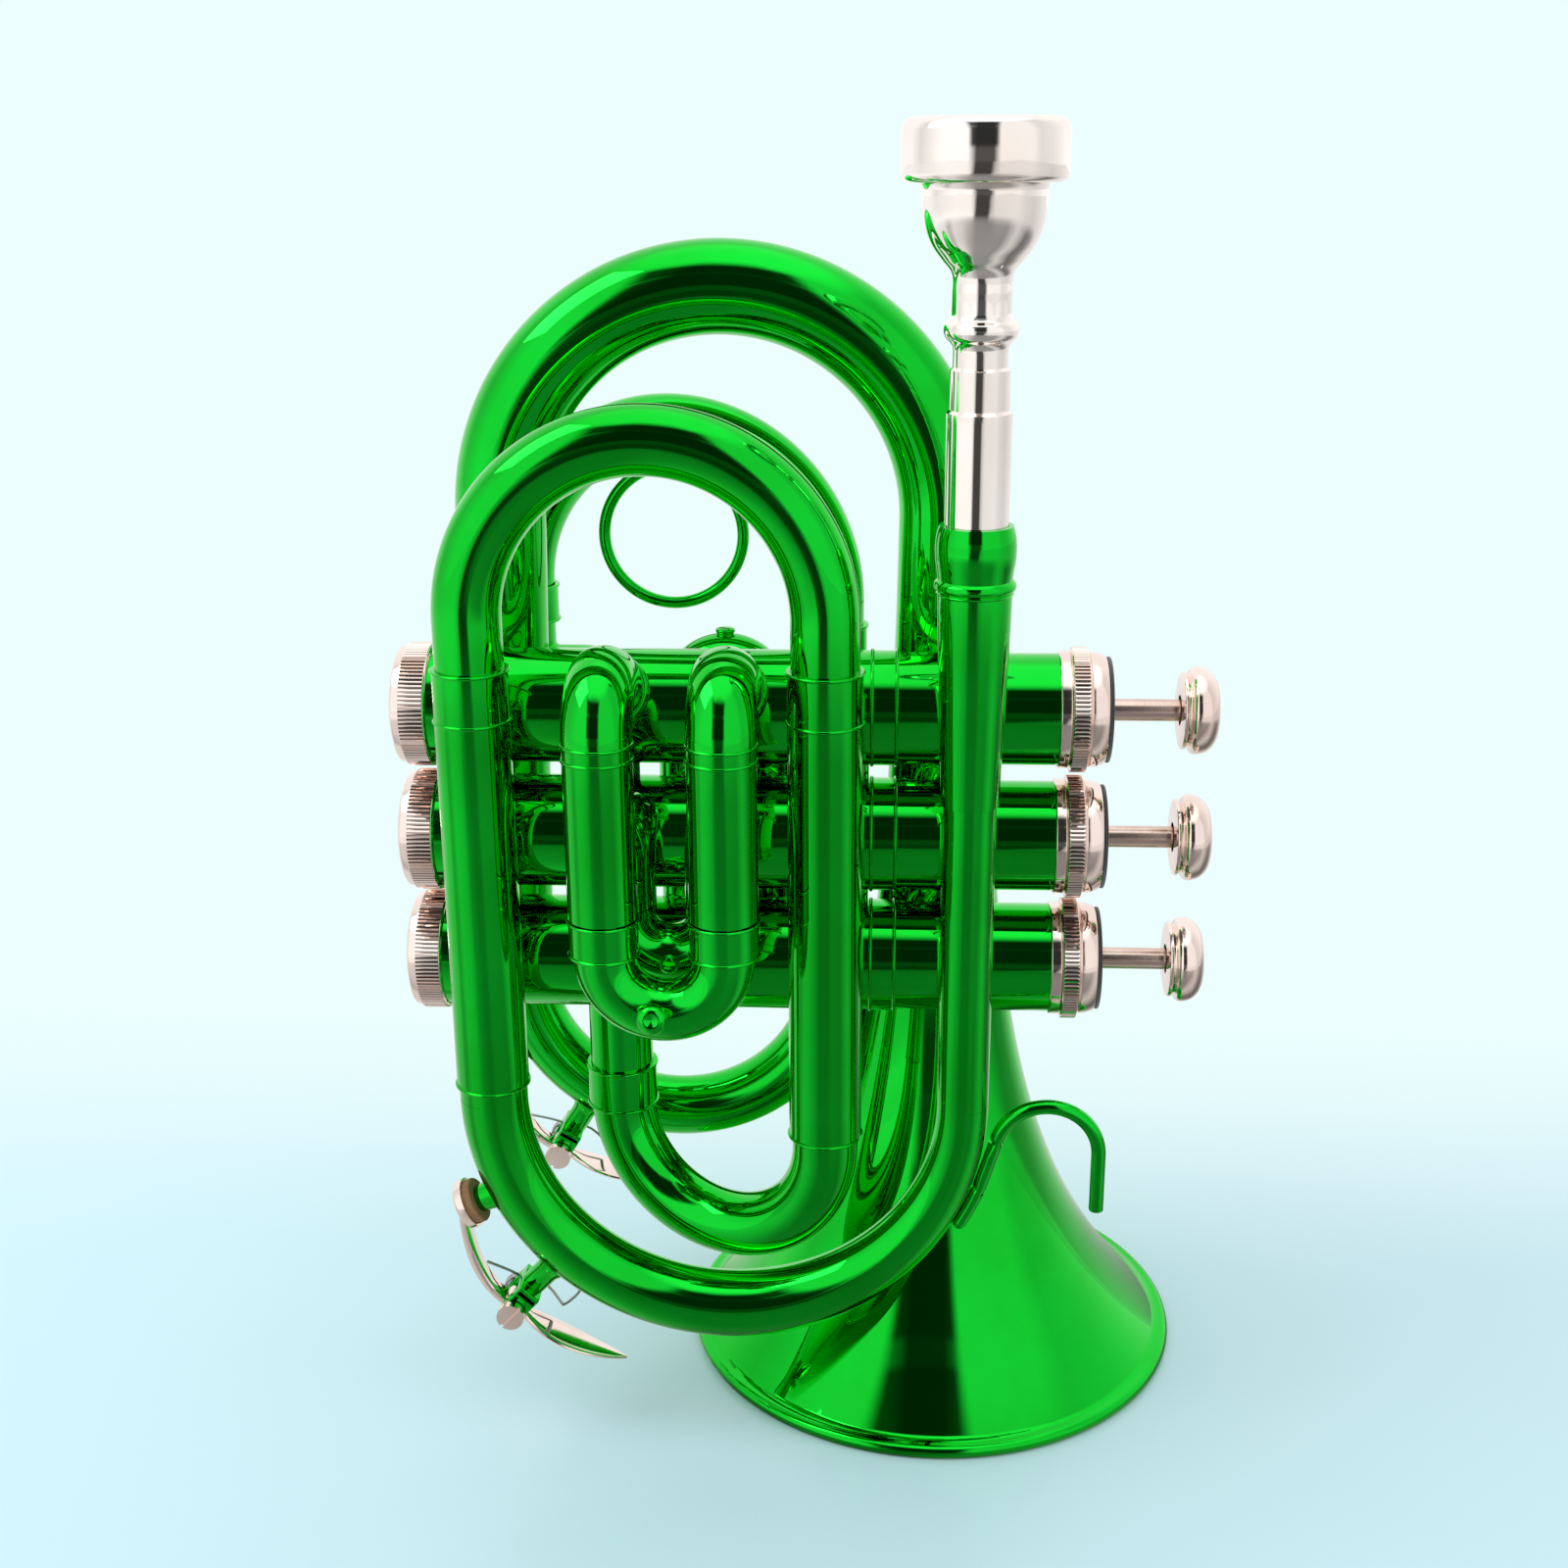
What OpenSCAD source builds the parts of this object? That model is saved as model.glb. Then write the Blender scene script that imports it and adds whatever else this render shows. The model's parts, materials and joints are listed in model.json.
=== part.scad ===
// Pocket trumpet, standing on its bell: bell, tubing, three valves, slides, water keys and mouthpiece.
// Origin: the bell's axis on the plane of its rim. +X runs to the finger buttons, +Y to the bell side.

/* [Bell] */
// Outer radius of the bell's wired rim
bell_mouth_r = 50.3; // [46:0.1:54]
// Radius of the rim wire
rim_wire_r = 1.4; // [1:0.1:2]
// Depth of the flat that the rim wire stands on
rim_flat = 0.2; // [0.1:0.05:0.5]
// Radius that the bell stem narrows towards
stem_r = 8; // [7:0.1:8.6]
// Length over which the flare shrinks to about a third
flare_length = 41; // [36:0.5:44]
// Height of the bell stem's upper end
stem_top = 172.9; // [165:0.1:185]
// Radius of the bell bow's centre line
bell_bow_bend = 42.17; // [38:0.1:46]

/* [Tubing] */
// Wall thickness of the tubes
wall = 0.6; // [0.4:0.05:0.8]
// Outer radius of the inner air tubes and bows
tube_r = 6.05; // [5.8:0.05:6.2]
// Outer radius of the wider sleeve tubes in front
sleeve_r = 6.65; // [6.5:0.05:6.9]
// Radius by which the fine lines on the ferrules stand out
line_r = 0.28; // [0.15:0.01:0.4]
// X of the left front tube
left_x = -82.8; // [-86:0.1:-80]
// X of the right front tube
front_tube_x = -21.05; // [-24:0.1:-19]
// X of the mouthpiece and leadpipe
lead_x = 4.2; // [2:0.1:7]
// X of the rear tube that feeds the rear bow
rear_tube_x = -21.1; // [-23:0.1:-18]
// X of the tube that climbs into the third valve
inlet_x = -61.2; // [-64:0.1:-58]
// Height where the front bow's legs end on their ferrules
front_joint_z = 144.3; // [135:0.1:150]
// Length of the front bow's ferrules
front_ferrule = 9.6; // [6:0.1:12]
// Height of the centre of the front bow's arc
front_arc_z = 162.4; // [158:0.1:168]
// Height of the lower end of the left sleeve tube
left_end_z = 74.35; // [70:0.1:80]
// Height of the lower end of the right front tube
front_end_z = 65; // [62:0.1:70]
// Height of the centre of the lower bow's arc
lower_arc_z = 62.9; // [60:0.1:66]
// Height of the centre of the rear bow's arc
rear_arc_z = 80.2; // [77:0.1:84]
// Height of the centre of the return bow's arc
return_arc_z = 156.7; // [154:0.1:160]
// Distance by which the return bow's far leg stands behind the bell plane
return_depth = 15.6; // [15:0.1:18]
// Height of the pipe that links the return bow to the first valve
link_z = 137.7; // [135.5:0.1:139]
// X of the pipe that enters the first valve from behind
link_x = -66.5; // [-69:0.1:-64]

/* [Main slide] */
// Radius of the big bow's tube on the left and at the bottom
main_r = 6.25; // [6:0.05:6.4]
// Radius of the leadpipe leg
lead_r = 4.75; // [4.4:0.05:5]
// Height of the centre of the big bow's arc
main_arc_z = 71.8; // [70:0.1:74]
// Height of the upper end of the left inner leg
main_leg_top = 132; // [110:0.5:140]
// Height of the upper end of the leadpipe leg
lead_top = 154.5; // [148:0.5:156]

/* [Valves] */
// Outer radius of a valve casing
casing_r = 10.5; // [10.2:0.05:10.8]
// Gap between neighbouring casings
casing_gap = 3.3; // [2.8:0.1:4.5]
// Height of the first valve's axis
valve_1_z = 142.2; // [140:0.1:146]
// Clearance between the third casing and the bell stem
bell_clearance = 1.0; // [0.5:0.1:3]
// X of the outer face of the bottom caps
cap_bottom_x = -100; // [-104:0.1:-97]
// X of the step between the lower and the upper casing
step_x = -13.1; // [-16:0.1:-11.5]
// Width of the ring at that step
step_w = 4.4; // [3:0.1:6]
// X of the casing's upper end
casing_top_x = 20.2; // [17:0.1:24]
// Radius of the piston
piston_r = 8.5; // [8:0.05:8.8]
// Running clearance of a piston in its casing
piston_clearance = 0.04; // [0.02:0.01:0.08]
// Stroke of a finger button
stroke = 12.3; // [8:0.1:12.4]
// Radius of a valve stem
stem_rod_r = 2; // [1.6:0.05:2.3]
// Radius of a finger button
button_r = 7.9; // [7:0.1:8.6]
// Radius of the knurled rings
knurl_r = 11.3; // [11.1:0.05:11.45]

/* [Valve slides] */
// Outer radius of the first and third slides' sleeve tubes
slide_sleeve_r = 6.1; // [5.9:0.05:6.2]
// Outer radius of the second slide's sleeve tubes
short_sleeve_r = 5.7; // [5.5:0.05:5.8]
// Radius of the slide crooks
crook_r = 5.45; // [5.3:0.05:5.5]
// Radius of the legs that run in the sleeves
leg_r = 5.1; // [4.9:0.05:5.15]
// Running clearance of a slide leg in its sleeve
slide_clearance = 0.05; // [0.03:0.01:0.09]
// Half the leg spacing of the first slide
first_half = 10.3; // [9.8:0.1:11]
// X of the middle of the first slide
first_x = -48.9; // [-50.5:0.1:-48]
// Half the leg spacing of the second slide
second_half = 8.3; // [7.6:0.1:9]
// Half the leg spacing of the third slide
third_half = 7.1; // [6.6:0.1:7.4]
// X of the middle of the third slide
third_x = -41.2; // [-43:0.1:-40.6]
// Height of the centre of the first slide's crook
first_crook_z = 105; // [102:0.1:110]
// Height of the centre of the second slide's crook
second_crook_z = 108.6; // [107.5:0.1:110]
// Height of the centre of the third slide's crook
third_crook_z = 139.2; // [136:0.1:141]

/* [Mouthpiece] */
// Radius of the mouthpiece rim
mouth_rim_r = 13.4; // [12.8:0.1:14]
// Height of the top of the mouthpiece
mouth_top = 243.9; // [238:0.1:250]
// Height of the receiver's mouth
receiver_top = 179.2; // [177:0.1:183]
// Radius of the mouthpiece shank where it enters the receiver
shank_r = 5.4; // [5.2:0.05:5.6]
// Depth of the shank in the receiver
shank_depth = 22; // [18:0.5:23]

/* [Fittings] */
// Radius of the finger ring's wire
ring_wire_r = 1.15; // [0.9:0.05:1.5]
// Outer radius of the finger ring
ring_outer_r = 14.65; // [13:0.05:16]
// Radius of the little finger hook's wire
hook_r = 1.35; // [1.1:0.05:1.6]
// Distance of a water key's pivot from the bow's surface
key_pivot_h = 10.9; // [10:0.1:12]
// Distance of a water key's cork from its pivot
key_reach = 19.3; // [17:0.1:21]
// Length of a water key's finger plate
key_plate = 24.5; // [20:0.1:27]
// Radius of a water key's cork cup
key_cup_r = 4.3; // [3.8:0.1:4.8]
// Running clearance of a water key on its screw
key_clearance = 0.05; // [0.03:0.01:0.1]

/* [Hidden] */
$fn = 64;

green = "green";
nickel = "silver";
eps = 0.01;
// Gap left for solder between a tube and what holds it
solder = 0.02;
// Free gap between a slide's ferrule and its sleeve when the slide is home
home_gap = 0.3;

// Derived heights and planes
rim_z = rim_wire_r - rim_flat;
rim_ring_r = bell_mouth_r - rim_wire_r;
valve_pitch = 2 * casing_r + casing_gap;
valve_z = [for (i = [0:2]) valve_1_z - i * valve_pitch];
valve_y = -(bell_r(valve_z[2]) + bell_clearance + casing_r);
front_gap = 0.8;
front_y = valve_y - casing_r - front_gap - sleeve_r;
slide_gap = 0.3;
second_y = valve_y - casing_r - slide_gap - short_sleeve_r;
first_y = second_y - short_sleeve_r - slide_sleeve_r - slide_gap;
third_y = valve_y + casing_r + slide_gap + slide_sleeve_r;
tail_x = -2 * bell_bow_bend;
front_bend = (front_tube_x - left_x) / 2;
front_mid_x = (front_tube_x + left_x) / 2;
main_bend = (lead_x - left_x) / 2;
main_mid_x = (lead_x + left_x) / 2;
rear_bend = (rear_tube_x - tail_x) / 2;
rear_mid_x = (rear_tube_x + tail_x) / 2;
return_x = tail_x + 1;
bow_r = bell_r(stem_top);
piston_bore = piston_r + piston_clearance;

// Radius of the bell's outer surface at a height: a stem and a flare that fades with height
function bell_r(z) = stem_r + (rim_ring_r - stem_r) * exp(-(z - rim_z) / flare_length);
function bell_slope(z) = (rim_ring_r - stem_r) / flare_length * exp(-(z - rim_z) / flare_length);
function bell_inner_r(z) = bell_r(z) - wall * sqrt(1 + pow(bell_slope(z), 2));

function unit(v) = v / norm(v);
// A direction square to v
function across(v) = unit(abs(v[2]) < 0.9 * norm(v) ? cross(v, [0, 0, 1]) : cross(v, [1, 0, 0]));

// Places children with local X, Y and Z along three directions
module placed(origin, x_dir, y_dir) {
    z_dir = cross(x_dir, y_dir);
    multmatrix([
        [x_dir[0], y_dir[0], z_dir[0], origin[0]],
        [x_dir[1], y_dir[1], z_dir[1], origin[1]],
        [x_dir[2], y_dir[2], z_dir[2], origin[2]],
        [0, 0, 0, 1]
    ]) children();
}

// Round bar between two points, straight or tapered
module rod(a, b, r1, r2) {
    axis = unit(b - a);
    side = across(axis);
    placed(a, side, cross(axis, side)) cylinder(h = norm(b - a), r1 = r1, r2 = r2);
}

// Direction of a route's leg i, and how much of it a bend at point i takes
function leg(p, i) = unit(p[i + 1] - p[i]);
function turn(p, i) = acos(leg(p, i - 1) * leg(p, i));
function taken(p, i, bend) = i == 0 || i == len(p) - 1 ? 0 : bend * tan(turn(p, i) / 2);

// Round bar along a route of straight legs and round bends
module bar(p, bend, r, over = 0) {
    last = len(p) - 1;
    for (i = [0:last - 1]) {
        a = p[i] + leg(p, i) * (i == 0 ? -over : taken(p, i, bend));
        b = p[i + 1] - leg(p, i) * (i == last - 1 ? -over : taken(p, i + 1, bend));
        if (norm(b - a) > eps) rod(a, b, r, r);
    }
    if (last > 1) for (i = [1:last - 1]) {
        u = leg(p, i - 1);
        v = leg(p, i);
        start = p[i] - u * taken(p, i, bend);
        centre = p[i] + unit(v - u) * bend / cos(turn(p, i) / 2);
        out = (start - centre) / bend;
        placed(centre, out, u) rotate_extrude(angle = turn(p, i)) translate([bend, 0]) circle(r);
    }
}

// Tube along such a route
module pipe(p, bend, r, inner) {
    difference() {
        bar(p, bend, r);
        bar(p, bend, inner, 1);
    }
}

// Half-round bow between two points at one height, arching up (way 1) or down (way -1)
module bow(a, b, way, r, inner) {
    bend = norm(b - a) / 2;
    placed((a + b) / 2, unit(b - a), [0, 0, way])
        rotate_extrude(angle = 180) translate([bend, 0]) difference() {
            circle(r);
            circle(inner);
        }
}

// Round wire through points in an upright plane that faces the front, as a mesh with rounded corners
module wire(p, r) {
    sides = 12;
    last = len(p) - 1;
    side = [0, 1, 0];
    function ring(i) = let (up = cross(side, unit(p[min(i + 1, last)] - p[max(i - 1, 0)])))
        [for (s = [0:sides - 1]) p[i] + r * cos(360 * s / sides) * side + r * sin(360 * s / sides) * up];
    points = [for (i = [0:last]) each ring(i)];
    walls = [for (i = [0:last - 1], s = [0:sides - 1]) let (n = (s + 1) % sides, a = i * sides)
        each [[a + s, a + sides + n, a + n], [a + s, a + sides + s, a + sides + n]]];
    ends = [[for (s = [0:sides - 1]) s], [for (s = [sides - 1:-1:0]) last * sides + s]];
    polyhedron(points = points, faces = concat(walls, ends));
}

// Upright tube
module upright(x, y, z0, z1, r, inner) {
    translate([x, y, z0]) difference() {
        cylinder(h = z1 - z0, r = r);
        translate([0, 0, -1]) cylinder(h = z1 - z0 + 2, r = inner);
    }
}

// Fine raised line round an upright tube
module line_ring(x, y, z, r) {
    translate([x, y, z]) rotate_extrude() translate([r, 0]) circle(line_r, $fn = 24);
}

// Ferrule: a short sleeve with a fine line at each end
module ferrule(x, y, z0, z1, r, inner) {
    difference() {
        union() {
            upright(x, y, z0, z1, r, inner);
            line_ring(x, y, z0 + line_r, r);
            line_ring(x, y, z1 - line_r, r);
        }
        translate([x, y, z0 - 1]) cylinder(h = z1 - z0 + 2, r = inner);
    }
}

// Solid of a valve casing, used to cut what is soldered to it
module casing_body(i, extra = 0) {
    translate([cap_bottom_x, valve_y, valve_z[i]]) rotate([0, 90, 0])
        cylinder(h = casing_top_x - cap_bottom_x, r = casing_r + extra);
}

// Polar frame of a bow in an upright plane: local X outwards, local Y along the bow, local Z to the front
module on_bow(mid_x, y, mid_z, angle) {
    translate([mid_x, y, mid_z]) rotate([90, 0, 0]) rotate([0, 0, angle]) children();
}

module bell() {
    steps = 48;
    heights = [for (i = [0:steps]) rim_z + (stem_top - rim_z) * pow(i / steps, 1.6)];
    outline = concat(
        [for (z = heights) [bell_r(z), z]],
        [for (i = [steps:-1:0]) [bell_inner_r(heights[i]), heights[i]]]
    );
    color(green) difference() {
        union() {
            rotate_extrude($fn = 96) polygon(outline);
            translate([0, 0, rim_z]) rotate_extrude($fn = 96) translate([rim_ring_r, 0]) circle(rim_wire_r);
        }
        translate([0, 0, -5]) cylinder(h = 5, r = bell_mouth_r + 5);
    }
}

module bell_bow() {
    color(green) bow([tail_x, 0, stem_top], [0, 0, stem_top], 1, bow_r, bow_r - wall);
}

module bell_tail() {
    color(green) difference() {
        rod([tail_x, 0, rear_arc_z], [tail_x, 0, stem_top], tube_r, bow_r);
        rod([tail_x, 0, rear_arc_z - eps], [tail_x, 0, stem_top + eps], tube_r - wall, bow_r - wall);
    }
}

module rear_bow() {
    color(green) difference() {
        union() {
            bow([rear_tube_x, 0, rear_arc_z], [tail_x, 0, rear_arc_z], -1, tube_r, tube_r - wall);
            key_nipple(rear_mid_x, 0, rear_arc_z, rear_key_angle, rear_bend, tube_r);
        }
        key_nipple_bore(rear_mid_x, 0, rear_arc_z, rear_key_angle, rear_bend, tube_r);
    }
}

module rear_tube() {
    color(green) upright(rear_tube_x, 0, rear_arc_z, return_arc_z, tube_r, tube_r - wall);
}

module return_bow() {
    color(green) bow([return_x, return_depth, return_arc_z], [rear_tube_x, 0, return_arc_z], 1,
        tube_r, tube_r - wall);
}

// Link from the return bow down and forward into the first valve, hidden behind the casings
module first_valve_link() {
    r = tube_r - 0.25;
    bend = 6.5;
    a = [return_x, return_depth, return_arc_z];
    b = [return_x, return_depth, link_z];
    c = [link_x, return_depth, link_z];
    d = [link_x, valve_y + casing_r / 2, link_z];
    color(green) difference() {
        pipe([a, b, c, d], bend, r, r - wall);
        casing_body(0, solder);
    }
}

module left_sleeve_tube() {
    color(green) union() {
        upright(left_x, front_y, left_end_z, front_joint_z, sleeve_r, main_leg_r + slide_clearance);
        line_ring(left_x, front_y, left_end_z + line_r, sleeve_r);
    }
}

module front_bow() {
    color(green) {
        bow([left_x, front_y, front_arc_z], [front_tube_x, front_y, front_arc_z], 1, tube_r, tube_r - wall);
        for (x = [left_x, front_tube_x])
            upright(x, front_y, front_joint_z, front_arc_z, tube_r, tube_r - wall);
    }
}

module front_tube() {
    color(green) upright(front_tube_x, front_y, front_end_z, front_joint_z, sleeve_r, tube_r + solder);
}

// Bow from the right front tube down and up again, turned back to the valve plane
module lower_bow() {
    color(green) bow([front_tube_x, front_y, lower_arc_z], [inlet_x, valve_y, lower_arc_z], -1,
        tube_r, tube_r - wall);
}

// Leg of the lower bow that goes up inside the right front tube
module lower_bow_leg() {
    insert = 12;
    color(green) upright(front_tube_x, front_y, lower_arc_z, front_end_z + insert, tube_r, tube_r - wall);
}

module third_valve_inlet() {
    color(green) difference() {
        upright(inlet_x, valve_y, lower_arc_z, valve_z[2] - casing_r / 2, tube_r, tube_r - wall);
        casing_body(2, solder);
    }
}

// Profile of the receiver and its tapered sleeve, from the lower end up
module mouthpiece_receiver() {
    low = receiver_top - receiver_length;
    bead_z = receiver_top - receiver_head;
    seat_z = receiver_top - shank_depth - 1.5;
    outline = [
        [lead_bore, low], [5.1, low], [6.22, bead_z - 7.4], [6.35, bead_z - 1.6],
        [6.6, bead_z - 1.3], [6.4, bead_z - 1], [6.9, bead_z - 0.5], [6.95, bead_z], [6.8, bead_z + 0.6],
        [6.3, bead_z + 1.1], [6.45, bead_z + 2.5], [6.75, bead_z + 4.2], [6.88, bead_z + 6.1],
        [6.8, bead_z + 7.7], [6.45, bead_z + 9.2], [6.12, receiver_top],
        [shank_r + slide_clearance, receiver_top], [shank_tip_r + slide_clearance, seat_z],
        [lead_bore, seat_z]
    ];
    color(green) translate([lead_x, front_y, 0]) rotate_extrude() polygon(outline);
}

module tube_ferrules() {
    inner = tube_r + solder;
    joint_top = front_joint_z + front_ferrule;
    rear_ferrule = 7.5;
    color(green) {
        ferrule(left_x, front_y, front_joint_z, joint_top, sleeve_r, inner);
        ferrule(front_tube_x, front_y, front_joint_z, joint_top, sleeve_r, inner);
        end_line();
        ferrule(inlet_x, valve_y, lower_arc_z - 1, lower_arc_z + 7.6, sleeve_r, inner);
        ferrule(rear_tube_x, 0, return_arc_z - 12, return_arc_z - 12 + rear_ferrule, sleeve_r, inner);
        ferrule(rear_tube_x, 0, rear_arc_z + 1, rear_arc_z + 1 + rear_ferrule, sleeve_r, inner);
        ferrule(return_x, return_depth, return_arc_z - 8, return_arc_z - 8 + rear_ferrule,
            sleeve_r, inner);
    }
}

// Fine line at the lower end of the right front tube
module end_line() {
    difference() {
        line_ring(front_tube_x, front_y, front_end_z, sleeve_r);
        translate([front_tube_x, front_y, front_end_z - 1]) cylinder(h = 3, r = sleeve_r + solder);
    }
}

// Struts that hold the tubes, the casings and the bell to each other
module body_braces() {
    strut = 2.4;
    column_r = 3;
    column_x = step_x - column_r - 2 * line_r;
    color(green) {
        // Columns between neighbouring casings
        for (i = [0:1]) difference() {
            translate([column_x, valve_y, valve_z[i + 1]]) cylinder(h = valve_pitch, r = column_r);
            casing_body(i, solder);
            casing_body(i + 1, solder);
        }
        // Struts from the casings back to the bell stem
        for (i = [0:1]) difference() {
            rod([0, valve_y, valve_z[i]], [0, 0, valve_z[i]], strut, strut);
            casing_body(i, solder);
            translate([0, 0, valve_z[i] - 6]) cylinder(h = 12, r1 = bell_r(valve_z[i] - 6) + solder,
                r2 = bell_r(valve_z[i] + 6) + solder);
        }
        // Struts from the casings back to the bell tail
        for (i = [0, 2]) difference() {
            rod([tail_x, valve_y, valve_z[i]], [tail_x, 0, valve_z[i]], strut, strut);
            casing_body(i, solder);
            rod([tail_x, 0, rear_arc_z - 1], [tail_x, 0, stem_top + 1],
                tube_r + 2 * solder, bow_r + 2 * solder);
        }
        // Pads between the casings and the front tubes
        for (i = [0:2], x = [left_x, front_tube_x]) front_pad(i, x, sleeve_r);
        front_pad(0, lead_x, sleeve_pad_r);
        // Struts from the rear tube to the casings
        for (i = [1, 2]) difference() {
            rod([rear_tube_x, valve_y, valve_z[i]], [rear_tube_x, 0, valve_z[i]], strut, strut);
            casing_body(i, solder);
            translate([rear_tube_x, 0, valve_z[i] - 6]) cylinder(h = 12, r = tube_r + solder);
        }
    }
}

// Pad that fills the gap between a casing and an upright tube in front of it
module front_pad(i, x, r) {
    difference() {
        rod([x, front_y, valve_z[i]], [x, valve_y, valve_z[i]], 2.2, 2.2);
        casing_body(i, solder);
        translate([x, front_y, valve_z[i] - 6]) cylinder(h = 12, r = r + solder);
    }
}

module finger_ring() {
    y = return_depth / 2;
    x = (rear_tube_x + return_x) / 2;
    half = norm([return_x - rear_tube_x, return_depth]) / 2;
    under = return_arc_z + half - tube_r;
    mid = under - ring_outer_r - 0.35;
    color(green) {
        translate([x, y, mid]) rotate([90, 0, 0]) rotate_extrude()
            translate([ring_outer_r - ring_wire_r, 0]) circle(ring_wire_r);
        // Solder foot under the bow
        translate([x, y, under - 1.2]) cylinder(h = 1.2 - solder, r = 1.5);
    }
}

// Valve casing: lower casing, step ring and upper casing, with its ports
module valve_casing(i) {
    lower_end = cap_bottom_x + 2.5;
    upper_r = casing_r - 0.35;
    color(green) difference() {
        translate([0, valve_y, valve_z[i]]) rotate([0, 90, 0]) {
            translate([0, 0, lower_end]) cylinder(h = 4.5, r = casing_thread_r);
            translate([0, 0, lower_end + 4.5]) cylinder(h = step_x - lower_end - 4.5, r = casing_r);
            translate([0, 0, step_x]) cylinder(h = step_w, r = casing_r);
            translate([0, 0, step_x + step_w]) cylinder(h = casing_top_x - step_x - step_w, r = upper_r);
            translate([0, 0, casing_top_x]) cylinder(h = 4, r = casing_thread_r);
            for (x = [step_x, step_x + step_w]) translate([0, 0, x]) rotate_extrude()
                translate([casing_r - 0.05, 0]) circle(line_r, $fn = 24);
        }
        translate([lower_end - 1, valve_y, valve_z[i]]) rotate([0, 90, 0])
            cylinder(h = casing_top_x + 5 - lower_end + 1, r = piston_bore);
        ports(i);
    }
}

// Bores of the air passages through one casing's wall
module ports(i) {
    bore = leg_r - wall;
    if (i == 0) {
        for (side = [-1, 1]) rod([first_x + side * first_half, valve_y, valve_z[0]],
            [first_x + side * first_half, valve_y, valve_z[0]] + 14 * first_dir, bore, bore);
        rod([link_x, valve_y, link_z], [link_x, valve_y + 14, link_z], bore, bore);
    }
    if (i == 1) for (side = [-1, 1]) rod([first_x + side * second_half, valve_y, valve_z[1]],
        [first_x + side * second_half, valve_y, valve_z[1]] + 14 * second_dir, bore, bore);
    if (i == 2) {
        for (side = [-1, 1]) rod([third_x + side * third_half, valve_y, valve_z[2]],
            [third_x + side * third_half, valve_y + 14, valve_z[2]], bore, bore);
        rod([inlet_x, valve_y, valve_z[2]], [inlet_x, valve_y, valve_z[2] - 14], bore, bore);
    }
    if (i < 2) rod([knuckle_x[i], valve_y, valve_z[i]], [knuckle_x[i], valve_y, valve_z[i] - 14], bore, bore);
    if (i > 0) rod([knuckle_x[i - 1], valve_y, valve_z[i]],
        [knuckle_x[i - 1], valve_y, valve_z[i] + 14], bore, bore);
}

// Short tubes that carry the air from one casing to the next
module valve_knuckles() {
    color(green) for (i = [0:1]) difference() {
        upright(knuckle_x[i], valve_y, valve_z[i + 1], valve_z[i], leg_r + 0.4, leg_r - wall);
        casing_body(i, solder);
        casing_body(i + 1, solder);
    }
}

// Bottom cap: a knurled cup with a vent hole
module bottom_cap(i) {
    depth = 7;
    skirt_r = knurl_r - 0.3;
    color(nickel) translate([cap_bottom_x, valve_y, valve_z[i]]) rotate([0, 90, 0]) difference() {
        union() {
            rotate_extrude() polygon([[0, 0], [skirt_r - 1.6, 0], [skirt_r - 0.5, 0.5], [skirt_r, 1.5],
                [skirt_r, 3], [0, 3]]);
            translate([0, 0, 3]) cylinder(h = depth - 3 - solder, r = knurl_r);
        }
        translate([0, 0, 1.5]) cylinder(h = depth, r = casing_thread_r + solder);
        translate([0, 0, -1]) cylinder(h = 4, r = 1.1);
    }
}

// Top cap: collar, knurled ring and smooth end with the stem's hole
module top_cap(i) {
    collar_r = casing_r + 0.1;
    end_r = 10;
    total = cap_length;
    color(nickel) translate([casing_top_x + solder, valve_y, valve_z[i]]) rotate([0, 90, 0]) difference() {
        union() {
            cylinder(h = 2.1, r = collar_r);
            translate([0, 0, 2.1]) cylinder(h = 3.2, r = knurl_r);
            translate([0, 0, 5.3]) rotate_extrude() polygon([[0, 0], [end_r + 0.4, 0], [end_r + 0.3, 1.6],
                [end_r - 0.1, total - 5.3 - 0.5], [end_r - 0.6, total - 5.3], [0, total - 5.3]]);
        }
        translate([0, 0, -1]) cylinder(h = 1 + total - 1.5, r = casing_thread_r + solder);
        translate([0, 0, total - 3]) cylinder(h = 4, r = stem_rod_r + 0.5);
    }
}

module cap_felts() {
    color("black") for (z = valve_z) translate([casing_top_x + cap_length + 2 * solder, valve_y, z])
        rotate([0, 90, 0]) difference() {
            cylinder(h = felt_t, r = 9.6);
            translate([0, 0, -1]) cylinder(h = felt_t + 2, r = stem_rod_r + 0.5);
        }
}

// Sleeve tube of a slide: from a casing out along a direction, then round into an upright leg
module slide_elbow(x, i, dir, y, end_z, r, bend) {
    axis = [x, valve_y, valve_z[i]];
    // The bend's corner lies where the direction's line meets the leg's plane
    reach = (y - valve_y) / dir[1];
    corner = axis + reach * dir;
    end = [x, y, end_z];
    difference() {
        pipe([axis + 2 * dir, corner, end], bend, r, leg_r + slide_clearance);
        casing_body(i, solder);
    }
}

module first_slide_sleeves() {
    end_z = first_crook_z + first_ferrule + home_gap;
    corner_z = valve_z[0] + (first_y - valve_y) / first_dir[1] * first_dir[2];
    bend_z = corner_z - elbow_bend * tan(45 + elbow_tilt / 2);
    color(green) for (side = [-1, 1]) {
        x = first_x + side * first_half;
        slide_elbow(x, 0, first_dir, first_y, end_z, slide_sleeve_r, elbow_bend);
        translate([x, first_y, bend_z - 2]) rotate_extrude() polygon([[slide_sleeve_r + solder, -0.4],
            [slide_sleeve_r + line_r, -0.2], [slide_sleeve_r + line_r, 0.2], [slide_sleeve_r + solder, 0.4]]);
        root_bead(x, 0, first_dir, slide_sleeve_r);
    }
}

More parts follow.
